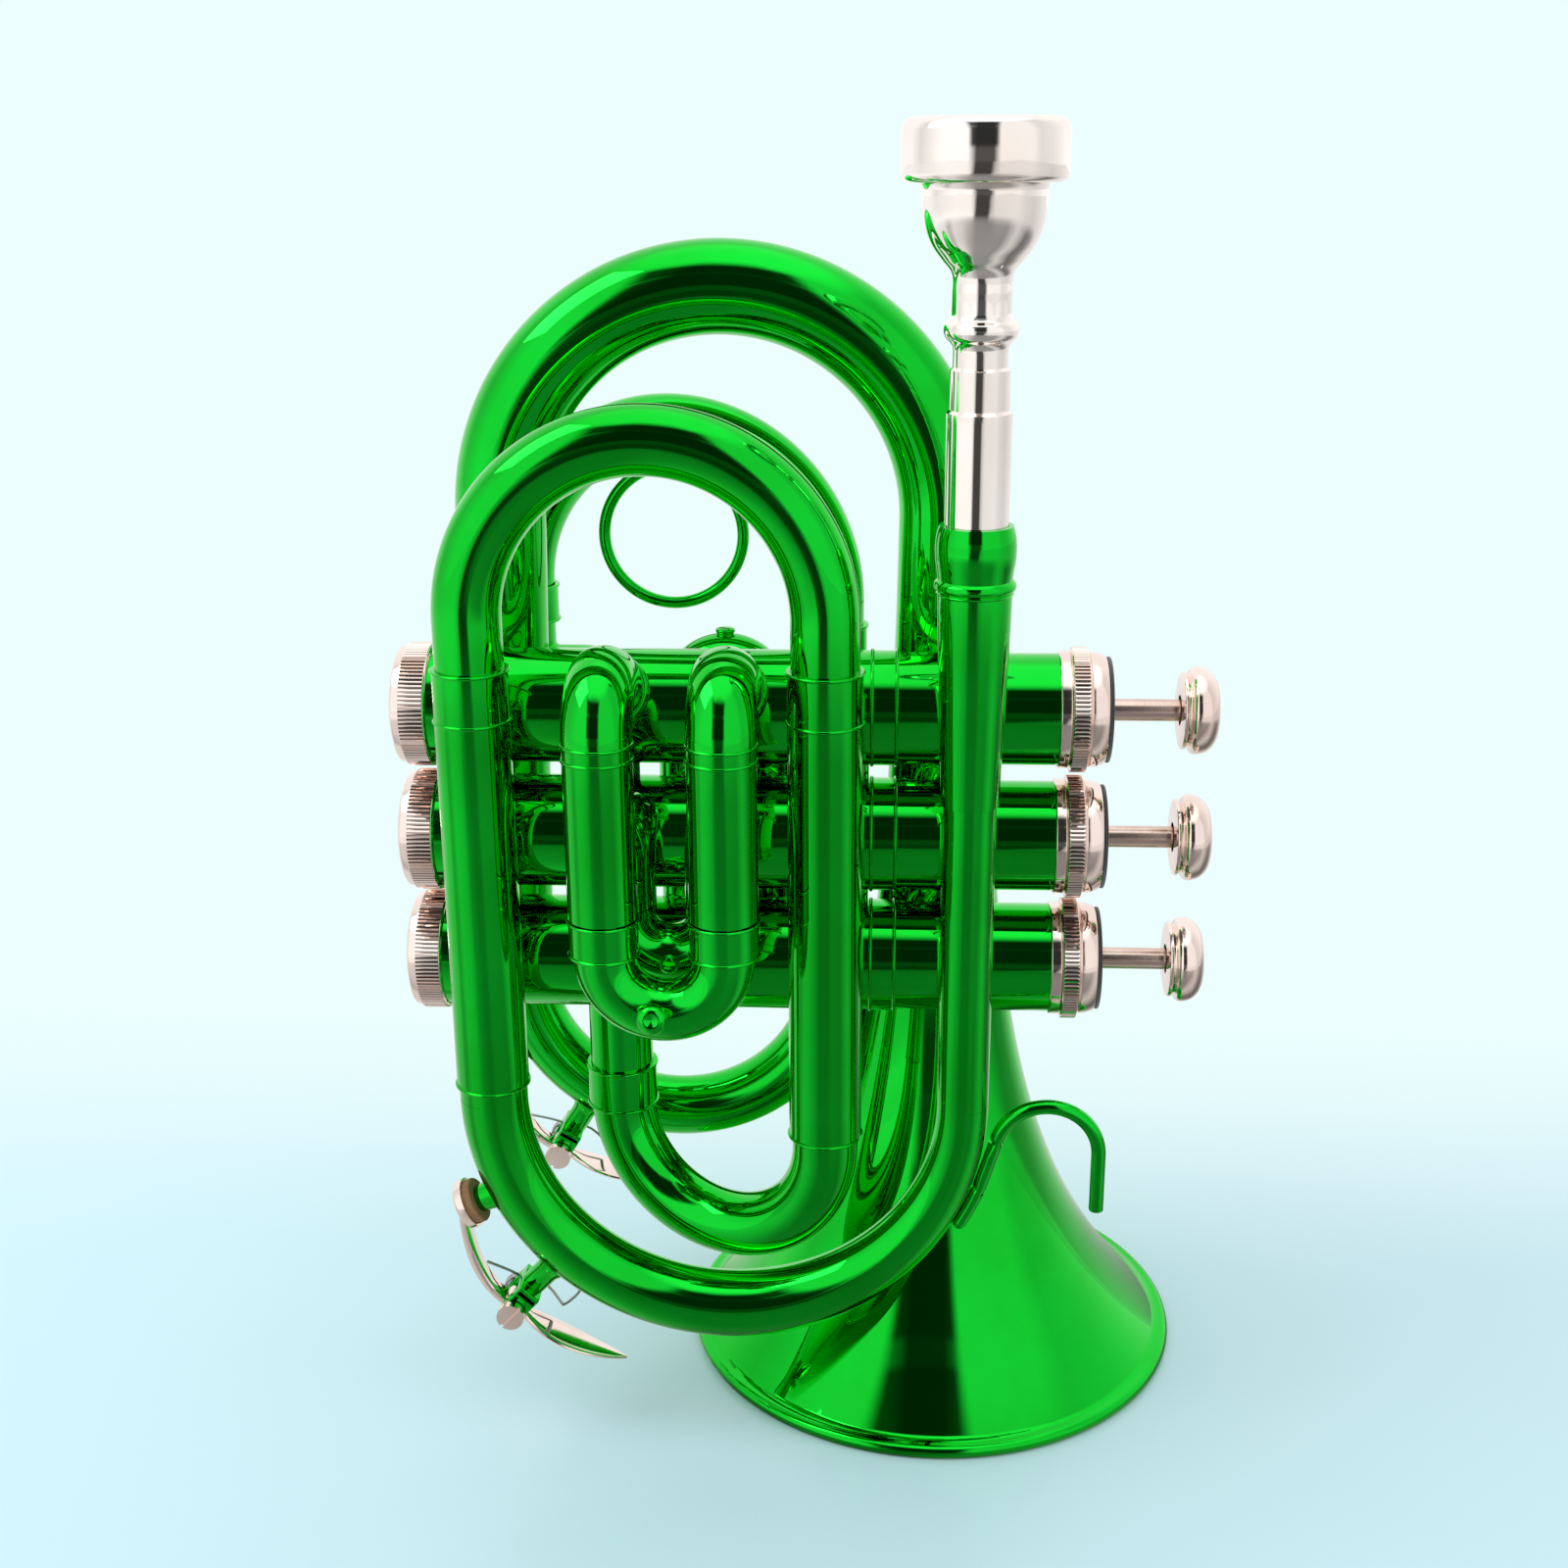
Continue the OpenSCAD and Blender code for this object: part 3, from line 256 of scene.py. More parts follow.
def plate(name, light, dark, rough):
    """Bright plated metal with faint colour variation and fine wipe marks."""
    material, shader = surface(name, Metallic=1.0)
    tone = shader.noise(60.0, 3.0)
    wipe = shader.noise(220.0, 4.0, 0.6, (1.0, 1.0, 7.0))
    shader.feed("Base Color", shader.blend(shader.between(tone, 0.3, 0.75), light, dark))
    shader.feed("Roughness", rough + 0.06 * shader.between(wipe, 0.5, 0.85))
    shader.relief(wipe, 0.000006, 0.15)
    return material


def brushed(name, light, dark, rough, along):
    """Turned or drawn metal, with fine grooves; along squeezes the grain over each axis."""
    material, shader = surface(name, Metallic=1.0)
    grain = shader.noise(900.0, 4.0, 0.65, along)
    tone = shader.noise(90.0, 3.0)
    shader.feed("Base Color", shader.blend(shader.between(tone + grain * 0.4, 0.4, 1.0), light, dark))
    shader.feed("Roughness", rough + 0.14 * grain)
    shader.relief(grain, 0.00002, 0.35)
    return material


def felt_cloth(name, light, dark):
    material, shader = surface(name, **{"Sheen Weight": 0.6, "Sheen Roughness": 0.6})
    fluff = shader.noise(2600.0, 6.0, 0.75)
    shader.feed("Base Color", shader.blend(fluff, dark, light))
    shader.feed("Roughness", 0.86 + 0.14 * fluff)
    shader.relief(fluff, 0.00025, 0.8)
    return material


def cork_skin(name, light, dark):
    material, shader = surface(name)
    cells = shader.add("ShaderNodeTexVoronoi", sockets={"Vector": shader.place(), "Scale": 1500.0})
    mottle = shader.noise(500.0, 5.0, 0.7)
    shader.feed("Base Color", shader.blend(mottle, dark, light))
    shader.feed("Roughness", 0.7 + 0.25 * mottle)
    shader.relief(cells, 0.0002, 0.6)
    return material


green = lacquer("green_lacquer", rgb(0, 190, 34), rgb(0, 208, 46))
nickel = plate("nickel_plate", rgb(252, 235, 226), rgb(240, 217, 206), 0.06)
silver = plate("silver_plate", rgb(255, 249, 243), rgb(250, 239, 231), 0.04)
stem_metal = brushed("brushed_nickel", rgb(238, 213, 201), rgb(208, 178, 165), 0.16, (6.0, 0.6, 0.6))
piston_metal = brushed("ground_piston", rgb(206, 203, 198), rgb(176, 172, 166), 0.18, (6.0, 0.5, 0.5))
spring_steel = brushed("spring_steel", rgb(196, 196, 198), rgb(150, 150, 154), 0.22, (3.0, 3.0, 3.0))
felt = felt_cloth("black_felt", rgb(40, 36, 36), rgb(14, 12, 12))
cork = cork_skin("cork", rgb(176, 132, 92), rgb(92, 62, 40))
FINISHES = {
    "green_lacquer": green,
    "nickel_plate": nickel,
    "silver_plate": silver,
    "piston_metal": piston_metal,
    "spring_steel": spring_steel,
    "felt": felt,
}
SLOT = {finish: slot for slot, finish in FINISHES.items()}
SLOT.update({stem_metal: "nickel_plate", cork: "felt"})


def settle(piece, replaced=(), body=BODY):
    """Puts a finished piece on its body and in place of its nodes."""
    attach(piece, body)
    if replaced:
        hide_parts(*replaced)


def show(name, data):
    """A new object in the scene, at the origin."""
    result = bpy.data.objects.new(name, data)
    bpy.context.scene.collection.objects.link(result)
    return result


def smooth_faces(mesh, sharp):
    mesh.shade_smooth()
    mesh.set_sharp_from_angle(angle=math.radians(sharp))


def tidy_mesh(mesh, sharp):
    """Merges doubles, turns the faces outwards and marks edges that are really sharp."""
    work = bmesh.new()
    work.from_mesh(mesh)
    bmesh.ops.remove_doubles(work, verts=work.verts, dist=1e-7)
    bmesh.ops.recalc_face_normals(work, faces=work.faces)
    work.to_mesh(mesh)
    work.free()
    smooth_faces(mesh, sharp)


def new_piece(name, points, faces, finish=green, sharp=35):
    """A mesh object at the origin from points in millimetres, smooth but for its sharp edges."""
    mesh = bpy.data.meshes.new(name)
    mesh.from_pydata([tuple(Vector(p) * MM) for p in points], [], faces)
    tidy_mesh(mesh, sharp)
    mesh.materials.append(finish)
    return show(name, mesh)


def frame_on(origin, axis):
    """Matrix that puts local Z along an axis at an origin."""
    turn = UP.rotation_difference(Vector(axis).normalized()).to_matrix().to_4x4()
    return Matrix.Translation(Vector(origin)) @ turn


def turned_mesh(profile, place, sides, start=0):
    """Points and faces of a profile of (radius, along) turned about local Z; a closed loop."""
    points, rings, faces = [], [], []
    for radius, along in profile:
        if radius < 1e-6:
            rings.append([start + len(points)] * sides)
            points.append(place @ at(0, 0, along))
            continue
        rings.append([start + len(points) + s for s in range(sides)])
        for s in range(sides):
            angle = math.tau * s / sides
            points.append(place @ at(radius * math.cos(angle), radius * math.sin(angle), along))
    for k, low in enumerate(rings):
        high = rings[(k + 1) % len(rings)]
        for s in range(sides):
            n = (s + 1) % sides
            corners = [low[s], low[n], high[n], high[s]]
            face = [c for i, c in enumerate(corners) if c != corners[i - 1]]
            if len(face) > 2:
                faces.append(face)
    return points, faces


def turned_group(name, parts, finish=green, sides=SIDES, sharp=35):
    """One piece from several turned shapes, each given as profile, origin and axis."""
    points, faces = [], []
    for profile, origin, axis in parts:
        more, walls = turned_mesh(profile, frame_on(origin, axis), sides, len(points))
        points += more
        faces += walls
    return new_piece(name, points, faces, finish, sharp)


def turned(name, profile, origin, axis=UP, finish=green, sides=SIDES, sharp=35):
    return turned_group(name, [(profile, origin, axis)], finish, sides, sharp)


def rounded(profile, radius, steps=5):
    """A closed profile with each corner replaced by a small arc, where the sides leave room."""
    result = []
    for i, corner in enumerate(profile):
        here = Vector(corner)
        before = Vector(profile[i - 1]) - here
        after = Vector(profile[(i + 1) % len(profile)]) - here
        limit = 0.45 * min(before.length, after.length)
        spread = before.angle(after, math.pi) if before.length and after.length else math.pi
        if here.x < 1e-6 or spread > math.radians(150) or limit < 1e-4:
            result.append(tuple(here))
            continue
        cut = min(radius / math.tan(spread / 2), limit)
        a = here + before.normalized() * cut
        b = here + after.normalized() * cut
        for t in (k / steps for k in range(steps + 1)):
            result.append(tuple(a * (1 - t) ** 2 + here * 2 * t * (1 - t) + b * t**2))
    return result


def smooth_line(points, steps=6):
    """A smooth open curve through the points, as on a turned cup."""
    result = []
    last = len(points) - 1
    for i in range(last):
        p0, p1, p2, p3 = (Vector(points[min(max(i + k, 0), last)]) for k in (-1, 0, 1, 2))
        bend = 2 * p0 - 5 * p1 + 4 * p2 - p3
        twist = 3 * p1 - p0 - 3 * p2 + p3
        for t in (k / steps for k in range(steps)):
            result.append(tuple(0.5 * (2 * p1 + (p2 - p0) * t + bend * t**2 + twist * t**3)))
    return result + [tuple(points[-1])]


def bead(radius, along):
    """Points of a fine raised line on a turned wall, running along the axis."""
    turns = [math.pi * k / 8 for k in range(9)]
    return [(radius + LINE_R * math.sin(turn), along - LINE_R * math.cos(turn)) for turn in turns]


def sleeve(radius, bore, low, high, lines=()):
    """Closed profile of a straight tube with a bore and fine lines round it."""
    outer = [(radius, low)]
    for along in sorted(lines):
        outer += bead(radius, along)
    return outer + [(radius, high), (bore, high), (bore, low)]


def arc(centre, first, second, start, end, radius, steps=SIDES):
    """Points on an arc from angle start to end, in the plane of two unit directions."""
    centre, first, second = Vector(centre), Vector(first), Vector(second)
    turns = [math.radians(start + (end - start) * k / steps) for k in range(steps + 1)]
    return [centre + radius * (math.cos(turn) * first + math.sin(turn) * second) for turn in turns]


def half_bow(a, b, way, steps=SIDES):
    """Half-round route from a to b, arching up or down."""
    side = (a - b).normalized()
    return arc((a + b) / 2, side, UP * way, 0, 180, (a - b).length / 2, steps)


def bent_route(corners, bend, steps=20):
    """Route of straight legs with a round bend at each inner corner."""
    route = [corners[0]]
    for before, corner, after in zip(corners, corners[1:], corners[2:]):
        into = (corner - before).normalized()
        out = (after - corner).normalized()
        turn = into.angle(out)
        start = corner - into * bend * math.tan(turn / 2)
        centre = corner + (out - into).normalized() * bend / math.cos(turn / 2)
        route += arc(centre, (start - centre).normalized(), into, 0, math.degrees(turn), bend, steps)
    return route + [corners[-1]]


# Nodes that every tree has
ENDS = {
    "source": "NodeGroupInput",
    "result": "NodeGroupOutput",
    "realize": "GeometryNodeRealizeInstances",
    "paint": "GeometryNodeSetMaterial",
}


def geometry_tree(name, inputs, kinds, wires):
    """A Geometry Nodes tree from its inputs, its nodes and the wires between their sockets."""
    tree = bpy.data.node_groups.new(name, "GeometryNodeTree")
    add = tree.interface.new_socket
    add("Geometry", in_out="INPUT", socket_type="NodeSocketGeometry")
    sockets = {}
    for label, kind in inputs.items():
        sockets[label] = add(label, in_out="INPUT", socket_type="NodeSocket" + kind).identifier
    add("Geometry", in_out="OUTPUT", socket_type="NodeSocketGeometry")
    made = {label: tree.nodes.new(kind) for label, kind in {**ENDS, **kinds}.items()}
    for wire in wires.strip().splitlines():
        (start, output), (end, socket) = (side.strip().split(".") for side in wire.split(">"))
        tree.links.new(made[start].outputs[output], made[end].inputs[socket])
    return tree, sockets, made


def tube_tree():
    """Geometry tree that sweeps a round tube along a route whose points carry their own radius."""
    inputs = {"Sides": "Int", "Closed ends": "Bool", "Finish": "Material"}
    kinds = {
        "route": "GeometryNodeMeshToCurve",
        "width": "GeometryNodeInputNamedAttribute",
        "circle": "GeometryNodeCurvePrimitiveCircle",
        "sweep": "GeometryNodeCurveToMesh",
        "smooth": "GeometryNodeSetShadeSmooth",
    }
    tree, sockets, made = geometry_tree("tube_on_route", inputs, kinds, """
        source.Geometry > route.Mesh
        width.Attribute > sweep.Scale
        source.Sides > circle.Resolution
        route.Curve > sweep.Curve
        circle.Curve > sweep.Profile Curve
        source.Closed ends > sweep.Fill Caps
        sweep.Mesh > smooth.Geometry
        smooth.Geometry > realize.Geometry
        realize.Geometry > paint.Geometry
        source.Finish > paint.Material
        paint.Geometry > result.Geometry
    """)
    made["width"].inputs["Name"].default_value = "width"
    made["circle"].inputs["Radius"].default_value = 1.0
    return tree, sockets


def knurl_tree():
    """Geometry tree that sets small ridges side by side round local Z."""
    inputs = {label: "Float" for label in ("Radius", "Length", "Width", "Height")}
    inputs |= {"Count": "Int", "Finish": "Material"}
    kinds = {
        "circle": "GeometryNodeMeshCircle",
        "ridge": "GeometryNodeMeshCylinder",
        "size": "ShaderNodeCombineXYZ",
        "shape": "GeometryNodeTransform",
        "place": "GeometryNodeInputPosition",
        "align": "FunctionNodeAlignRotationToVector",
        "spread": "GeometryNodeInstanceOnPoints",
        "join": "GeometryNodeJoinGeometry",
    }
    tree, sockets, made = geometry_tree("knurl", inputs, kinds, """
        source.Count > circle.Vertices
        source.Radius > circle.Radius
        source.Height > size.X
        source.Width > size.Y
        source.Length > size.Z
        ridge.Mesh > shape.Geometry
        size.Vector > shape.Scale
        place.Position > align.Vector
        circle.Mesh > spread.Points
        shape.Geometry > spread.Instance
        align.Rotation > spread.Rotation
        spread.Instances > realize.Geometry
        realize.Geometry > join.Geometry
        source.Geometry > join.Geometry
        join.Geometry > paint.Geometry
        source.Finish > paint.Material
        paint.Geometry > result.Geometry
    """)
    made["align"].axis = "X"
    for label, value in {"Vertices": 6, "Radius": 1.0, "Depth": 1.0}.items():
        made["ridge"].inputs[label].default_value = value
    return tree, sockets


TUBE = tube_tree()
KNURL = knurl_tree()


def grow(piece, tree_and_sockets, values):
    """Adds a Geometry Nodes tree to a piece and sets its inputs."""
    tree, sockets = tree_and_sockets
    modifier = piece.modifiers.new("tree", "NODES")
    modifier.node_group = tree
    for label, value in values.items():
        modifier[sockets[label]] = value


def plain_mesh(piece):
    """The mesh of a piece with its modifiers applied; the piece itself goes."""
    depsgraph = bpy.context.evaluated_depsgraph_get()
    mesh = bpy.data.meshes.new_from_object(piece.evaluated_get(depsgraph), depsgraph=depsgraph)
    source = piece.data
    bpy.data.objects.remove(piece)
    bpy.data.meshes.remove(source)
    return mesh


def baked(piece, name, sharp):
    """The piece with its modifiers turned into a plain mesh."""
    mesh = plain_mesh(piece)
    mesh.name = name
    if "width" in mesh.attributes:
        mesh.attributes.remove(mesh.attributes["width"])
    tidy_mesh(mesh, sharp)
    return show(name, mesh)


def tube(name, route, radius, wall=WALL, finish=green, sides=SIDES, sharp=35):
    """Tube or solid wire along a route in millimetres; radius is one size or one for each point."""
    radii = radius if isinstance(radius, list) else [radius] * len(route)
    mesh = bpy.data.meshes.new(name)
    mesh.from_pydata([tuple(p * MM) for p in route], [(i, i + 1) for i in range(len(route) - 1)], [])
    mesh.attributes.new("width", "FLOAT", "POINT").data.foreach_set("value", [r * MM for r in radii])
    piece = show(name, mesh)
    grow(piece, TUBE, {"Sides": sides, "Closed ends": wall is None, "Finish": finish})
    if wall:
        shell = piece.modifiers.new("wall", "SOLIDIFY")
        shell.thickness = wall * MM
        shell.offset = -1.0
        shell.use_even_offset = True
    return baked(piece, name, sharp)


def joined(name, pieces, sharp=35):
    """One piece from several of one finish, with their points in place."""
    work = bmesh.new()
    for piece in pieces:
        work.from_mesh(piece.data)
    mesh = bpy.data.meshes.new(name)
    work.to_mesh(mesh)
    work.free()
    mesh.materials.append(pieces[0].data.materials[0])
    smooth_faces(mesh, sharp)
    for piece in pieces:
        bpy.data.meshes.remove(piece.data)
    return show(name, mesh)


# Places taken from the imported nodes, in millimetres
STEM_TOP, MOUTH_R = box_mm("bell")[1].z, box_mm("bell")[1].x
BOW_R = box_mm("bell_bow")[1].y
TAIL_X = box_mm("bell_bow")[0].x + BOW_R
REAR_Z = box_mm("bell_tail")[0].z
REAR_X = middle("rear_tube").x
RETURN_Z = box_mm("rear_tube")[1].z
FAR = at(TAIL_X + 1, box_mm("return_bow")[1].y - TUBE_R, RETURN_Z)
LEFT_X = middle("left_sleeve_tube").x
RIGHT_X, FRONT_Y, _ = middle("front_tube")
LEFT_END, FRONT_JOINT = (corner.z for corner in box_mm("left_sleeve_tube"))
FRONT_END = box_mm("front_tube")[0].z
FRONT_ARC_Z = box_mm("front_bow")[1].z - TUBE_R - (RIGHT_X - LEFT_X) / 2
LEAD_X = middle("leadpipe").x
MAIN_ARC_Z, LEAD_TOP = (corner.z for corner in box_mm("leadpipe"))
MAIN_X, MAIN_BEND = (LEAD_X + LEFT_X) / 2, (LEAD_X - LEFT_X) / 2
INLET_X = middle("third_valve_inlet").x
LOWER_Z = box_mm("third_valve_inlet")[0].z
VALVE_Z = [middle(f"valve_casing_{i}").z for i in (1, 2, 3)]
VALVE_Y = middle("valve_casing_1").y
CASING_LOW, CASING_HIGH = box_mm("valve_casing_1")[0].x, box_mm("top_cap_1")[0].x - SOLDER


def on_bow(mid_x, y, mid_z, angle):
    """Matrix of a bow's own frame: X outwards, Y along the bow and Z to the front, in millimetres."""
    turn = Matrix.Rotation(math.radians(90), 4, "X") @ Matrix.Rotation(math.radians(angle), 4, "Z")
    return Matrix.Translation((mid_x, y, mid_z)) @ turn


# A water key: its end of the horn, the word its nodes start with, its bow's body, frame and outer radius
Key = namedtuple("Key", "end word bow_body frame surface")
FRONT_FRAME = on_bow(MAIN_X, FRONT_Y, MAIN_ARC_Z, 226.7)
REAR_FRAME = on_bow((REAR_X + TAIL_X) / 2, 0, REAR_Z, 238.4)
FRONT_KEY = Key("front", "main", MAIN, FRONT_FRAME, MAIN_BEND + MAIN_R)
REAR_KEY = Key("rear", "rear", BODY, REAR_FRAME, (REAR_X - TAIL_X) / 2 + TUBE_R)


def bell_radius(z, rim_z, ring_r):
    """Outer radius of the bell at a height: a stem and a flare that fades with height."""
    stem_r, flare_length = 8.0, 41.0
    return stem_r + (ring_r - stem_r) * math.exp(-(z - rim_z) / flare_length)


def make_bell():
    """Bell with its flare, its thin wall and the wire that is rolled into its rim."""
    wire_r, flat, steps, crowding, small = 1.4, 0.2, 110, 1.7, 0.01
    rim_z, ring_r = wire_r - flat, MOUTH_R - wire_r
    clear = wire_r * 0.9
    outer, inner, rim = [], [], []
    for k in range(steps + 1):
        z = rim_z + (STEM_TOP - rim_z) * (k / steps) ** crowding
        radius = bell_radius(z, rim_z, ring_r)
        slope = (radius - bell_radius(z + small, rim_z, ring_r)) / small
        inside = radius - WALL * math.sqrt(1 + slope**2)
        if z > rim_z + clear:
            outer.append((radius, z))
        if z > rim_z + flat and inside < ring_r - clear:
            inner.append((inside, z))
    # The wire shows as a bead from the outer wall round under the rim to the inner wall
    flat_angle = math.degrees(math.acos((wire_r - flat) / wire_r))
    start, end, rim_steps = 96.0, -240.0, 40
    for k in range(rim_steps + 1):
        angle = start + (end - start) * k / rim_steps
        turn = math.radians(angle)
        if abs(angle + 90) > flat_angle:
            rim.append((ring_r + wire_r * math.cos(turn), rim_z + wire_r * math.sin(turn)))
    settle(turned("bell_flare", outer[::-1] + rim + inner, (0, 0, 0), UP, green, 144, 50), ["bell"])


def make_body_tubes():
    """Bows and straight tubes that are soldered to the body."""
    bell_arc = half_bow(at(0, 0, STEM_TOP), at(TAIL_X, 0, STEM_TOP), 1, 96)
    shares = [k / 12 for k in range(1, 13)]
    tail = [at(TAIL_X, 0, STEM_TOP + (REAR_Z - STEM_TOP) * share) for share in shares]
    radii = [BOW_R] * len(bell_arc) + [BOW_R + (TUBE_R - BOW_R) * share for share in shares]
    settle(tube("bell_branch", bell_arc + tail, radii, sides=80), ["bell_bow", "bell_tail"])

    rear = half_bow(at(REAR_X, 0, REAR_Z), at(TAIL_X, 0, REAR_Z), -1)
    settle(joined("rear_bow_tube", [tube("rear", rear, TUBE_R), nipple(REAR_KEY)]), ["rear_bow"])
    climb = [at(REAR_X, 0, REAR_Z), at(REAR_X, 0, RETURN_Z)]
    settle(tube("rear_climb_tube", climb, TUBE_R), ["rear_tube"])
    settle(tube("return_bow_tube", half_bow(FAR, climb[1], 1), TUBE_R), ["return_bow"])

    link_low, link_high = box_mm("first_valve_link")
    link_x, link_z, entry_y, bend = link_high.x - LINK_R, link_low.z + LINK_R, VALVE_Y + 9.0, 6.5
    corners = [FAR, at(FAR.x, FAR.y, link_z), at(link_x, FAR.y, link_z), at(link_x, entry_y, link_z)]
    settle(tube("first_valve_pipe", bent_route(corners, bend), LINK_R), ["first_valve_link"])

    left, right = at(LEFT_X, FRONT_Y, 0), at(RIGHT_X, FRONT_Y, 0)
    arch = half_bow(left + UP * FRONT_ARC_Z, right + UP * FRONT_ARC_Z, 1, 96)
    front = [left + UP * FRONT_JOINT] + arch + [right + UP * FRONT_JOINT]
    settle(tube("front_bow_tube", front, TUBE_R), ["front_bow"])
    profile = sleeve(SLEEVE_R, MAIN_LEG_R + SLIDING_FIT, LEFT_END, FRONT_JOINT, [LEFT_END + LINE_R])
    settle(turned("left_sleeve", profile, left), ["left_sleeve_tube"])
    profile = sleeve(SLEEVE_R, TUBE_R + SOLDER, FRONT_END, FRONT_JOINT, [FRONT_END + LINE_R])
    settle(turned("right_sleeve", profile, right), ["front_tube"])

    inside_sleeve, inlet_top = 4, VALVE_Z[2] - 8.9
    inlet = at(INLET_X, VALVE_Y, LOWER_Z)
    lower = [right + UP * (FRONT_END + inside_sleeve)] + half_bow(right + UP * LOWER_Z, inlet, -1)
    settle(tube("lower_bow_tube", lower, TUBE_R), ["lower_bow", "lower_bow_leg"])
    settle(tube("inlet_tube", [inlet, at(INLET_X, VALVE_Y, inlet_top)], TUBE_R), ["third_valve_inlet"])


def make_ferrules():
    """Short sleeves over the joints, each with a fine line at both ends."""
    front_length, rear_length = 9.6, 7.5
    rows = [
        (LEFT_X, FRONT_Y, FRONT_JOINT, front_length),
        (RIGHT_X, FRONT_Y, FRONT_JOINT, front_length),
        (INLET_X, VALVE_Y, LOWER_Z - 1, 8.6),
        (REAR_X, 0, RETURN_Z - 12, rear_length),
        (REAR_X, 0, REAR_Z + 1, rear_length),
        (FAR.x, FAR.y, RETURN_Z - 8, rear_length),
    ]
    parts = []
    for x, y, low, length in rows:
        high = low + length
        profile = sleeve(SLEEVE_R, TUBE_R + SOLDER, low, high, [low + LINE_R, high - LINE_R])
        parts.append((profile, at(x, y, 0), UP))
    settle(turned_group("joint_ferrules", parts), ["tube_ferrules"])


def make_casings():
    """Valve casings: a long lower barrel, a step with two fine lines, and a slimmer upper barrel."""
    bore, upper_r, thread, neck = 8.54, CASING_R - 0.35, 4.5, 4
    step_x, step_w = -13.1, 4.4
    step_end = step_x + step_w
    profile = [(THREAD_R, CASING_LOW), (THREAD_R, CASING_LOW + thread), (CASING_R, CASING_LOW + thread),
               (CASING_R, step_x - 0.5)]
    profile += bead(CASING_R, step_x) + bead(CASING_R, step_end)
    profile += [(upper_r, step_end + LINE_R + 0.02), (upper_r, CASING_HIGH), (THREAD_R, CASING_HIGH),
                (THREAD_R, CASING_HIGH + neck), (bore, CASING_HIGH + neck), (bore, CASING_LOW)]
    for i, z in enumerate(VALVE_Z, 1):
        casing = turned(f"casing_{i}", profile, at(0, VALVE_Y, z), EAST, green, 96)
        settle(casing, [f"valve_casing_{i}"])


def knurled_cap(name, profile, origin, band):
    """A turned cap with axial ridges round a band; made round local Z, then turned along X."""
    points, faces = turned_mesh(profile, Matrix.Identity(4), 96)
    core = new_piece(name + "_core", points, faces, nickel)
    low, high = band
    ridge_r = KNURL_R - 0.12
    to_middle = Matrix.Translation((0, 0, -(low + high) / 2 * MM))
    core.data.transform(to_middle)
    grow(core, KNURL, {
        "Radius": (ridge_r - 0.12) * MM,
        "Length": (high - low) * MM,
        "Width": math.tau * ridge_r / RIDGES * 0.46 * MM,
        "Height": 0.30 * MM,
        "Count": RIDGES,
        "Finish": nickel,
    })
    mesh = plain_mesh(core)
    mesh.transform(frame_on(origin * MM, EAST) @ to_middle.inverted())
    smooth_faces(mesh, 28)
    return show(name, mesh)


def make_caps():
    """Bottom caps with a knurled skirt, and top caps with collar, knurled ring and smooth end."""
    thread_r, band_r, collar, end = THREAD_R + SOLDER, KNURL_R - 0.25, CASING_R + 0.1, 10.0
    bottom = rounded([
        (1.1, 0.25), (4.0, 0.0), (KNURL_R - 2.5, 0), (KNURL_R - 0.6, 0.7), (KNURL_R - 0.3, 1.9),
        (band_r, 2.1), (band_r, 6.6), (band_r - 0.3, 6.98), (thread_r, 6.98), (thread_r, 1.5), (1.1, 1.5),
    ], 0.6)
    top = rounded([
        (thread_r, 0), (collar, 0), (collar, 2.0), (collar - 0.45, 2.15), (band_r - 0.25, 2.2), (band_r, 2.5),
        (band_r, 5.0), (band_r - 0.25, 5.3), (end + 0.15, 5.35), (end + 0.45, 5.7), (end + 0.35, 6.9),
        (end - 0.1, 8.3), (end - 0.6, 8.8), (2.5, 8.8), (2.5, 7.2), (thread_r - 0.4, 7.2), (thread_r, 6.8),
    ], 0.35)
    bottom_x = box_mm("bottom_cap_1")[0].x
    for i, z in enumerate(VALVE_Z, 1):
        cap = knurled_cap(f"lower_cap_{i}", bottom, at(bottom_x, VALVE_Y, z), (2.2, 6.5))
        settle(cap, [f"bottom_cap_{i}"], BODY)
        cap = knurled_cap(f"upper_cap_{i}", top, at(CASING_HIGH + SOLDER, VALVE_Y, z), (2.4, 5.1))
        settle(cap, [f"top_cap_{i}"], BODY)


def make_felts():
    low, high = box_mm("cap_felts")
    inner, outer, thick = 2.5, 9.6, high.x - low.x
    ring = rounded([(inner, 0), (outer, 0), (outer, thick), (inner, thick)], 0.2)
    parts = [(ring, at(low.x, VALVE_Y, z), EAST) for z in VALVE_Z]
    settle(turned_group("felt_washers", parts, felt), ["cap_felts"], BODY)


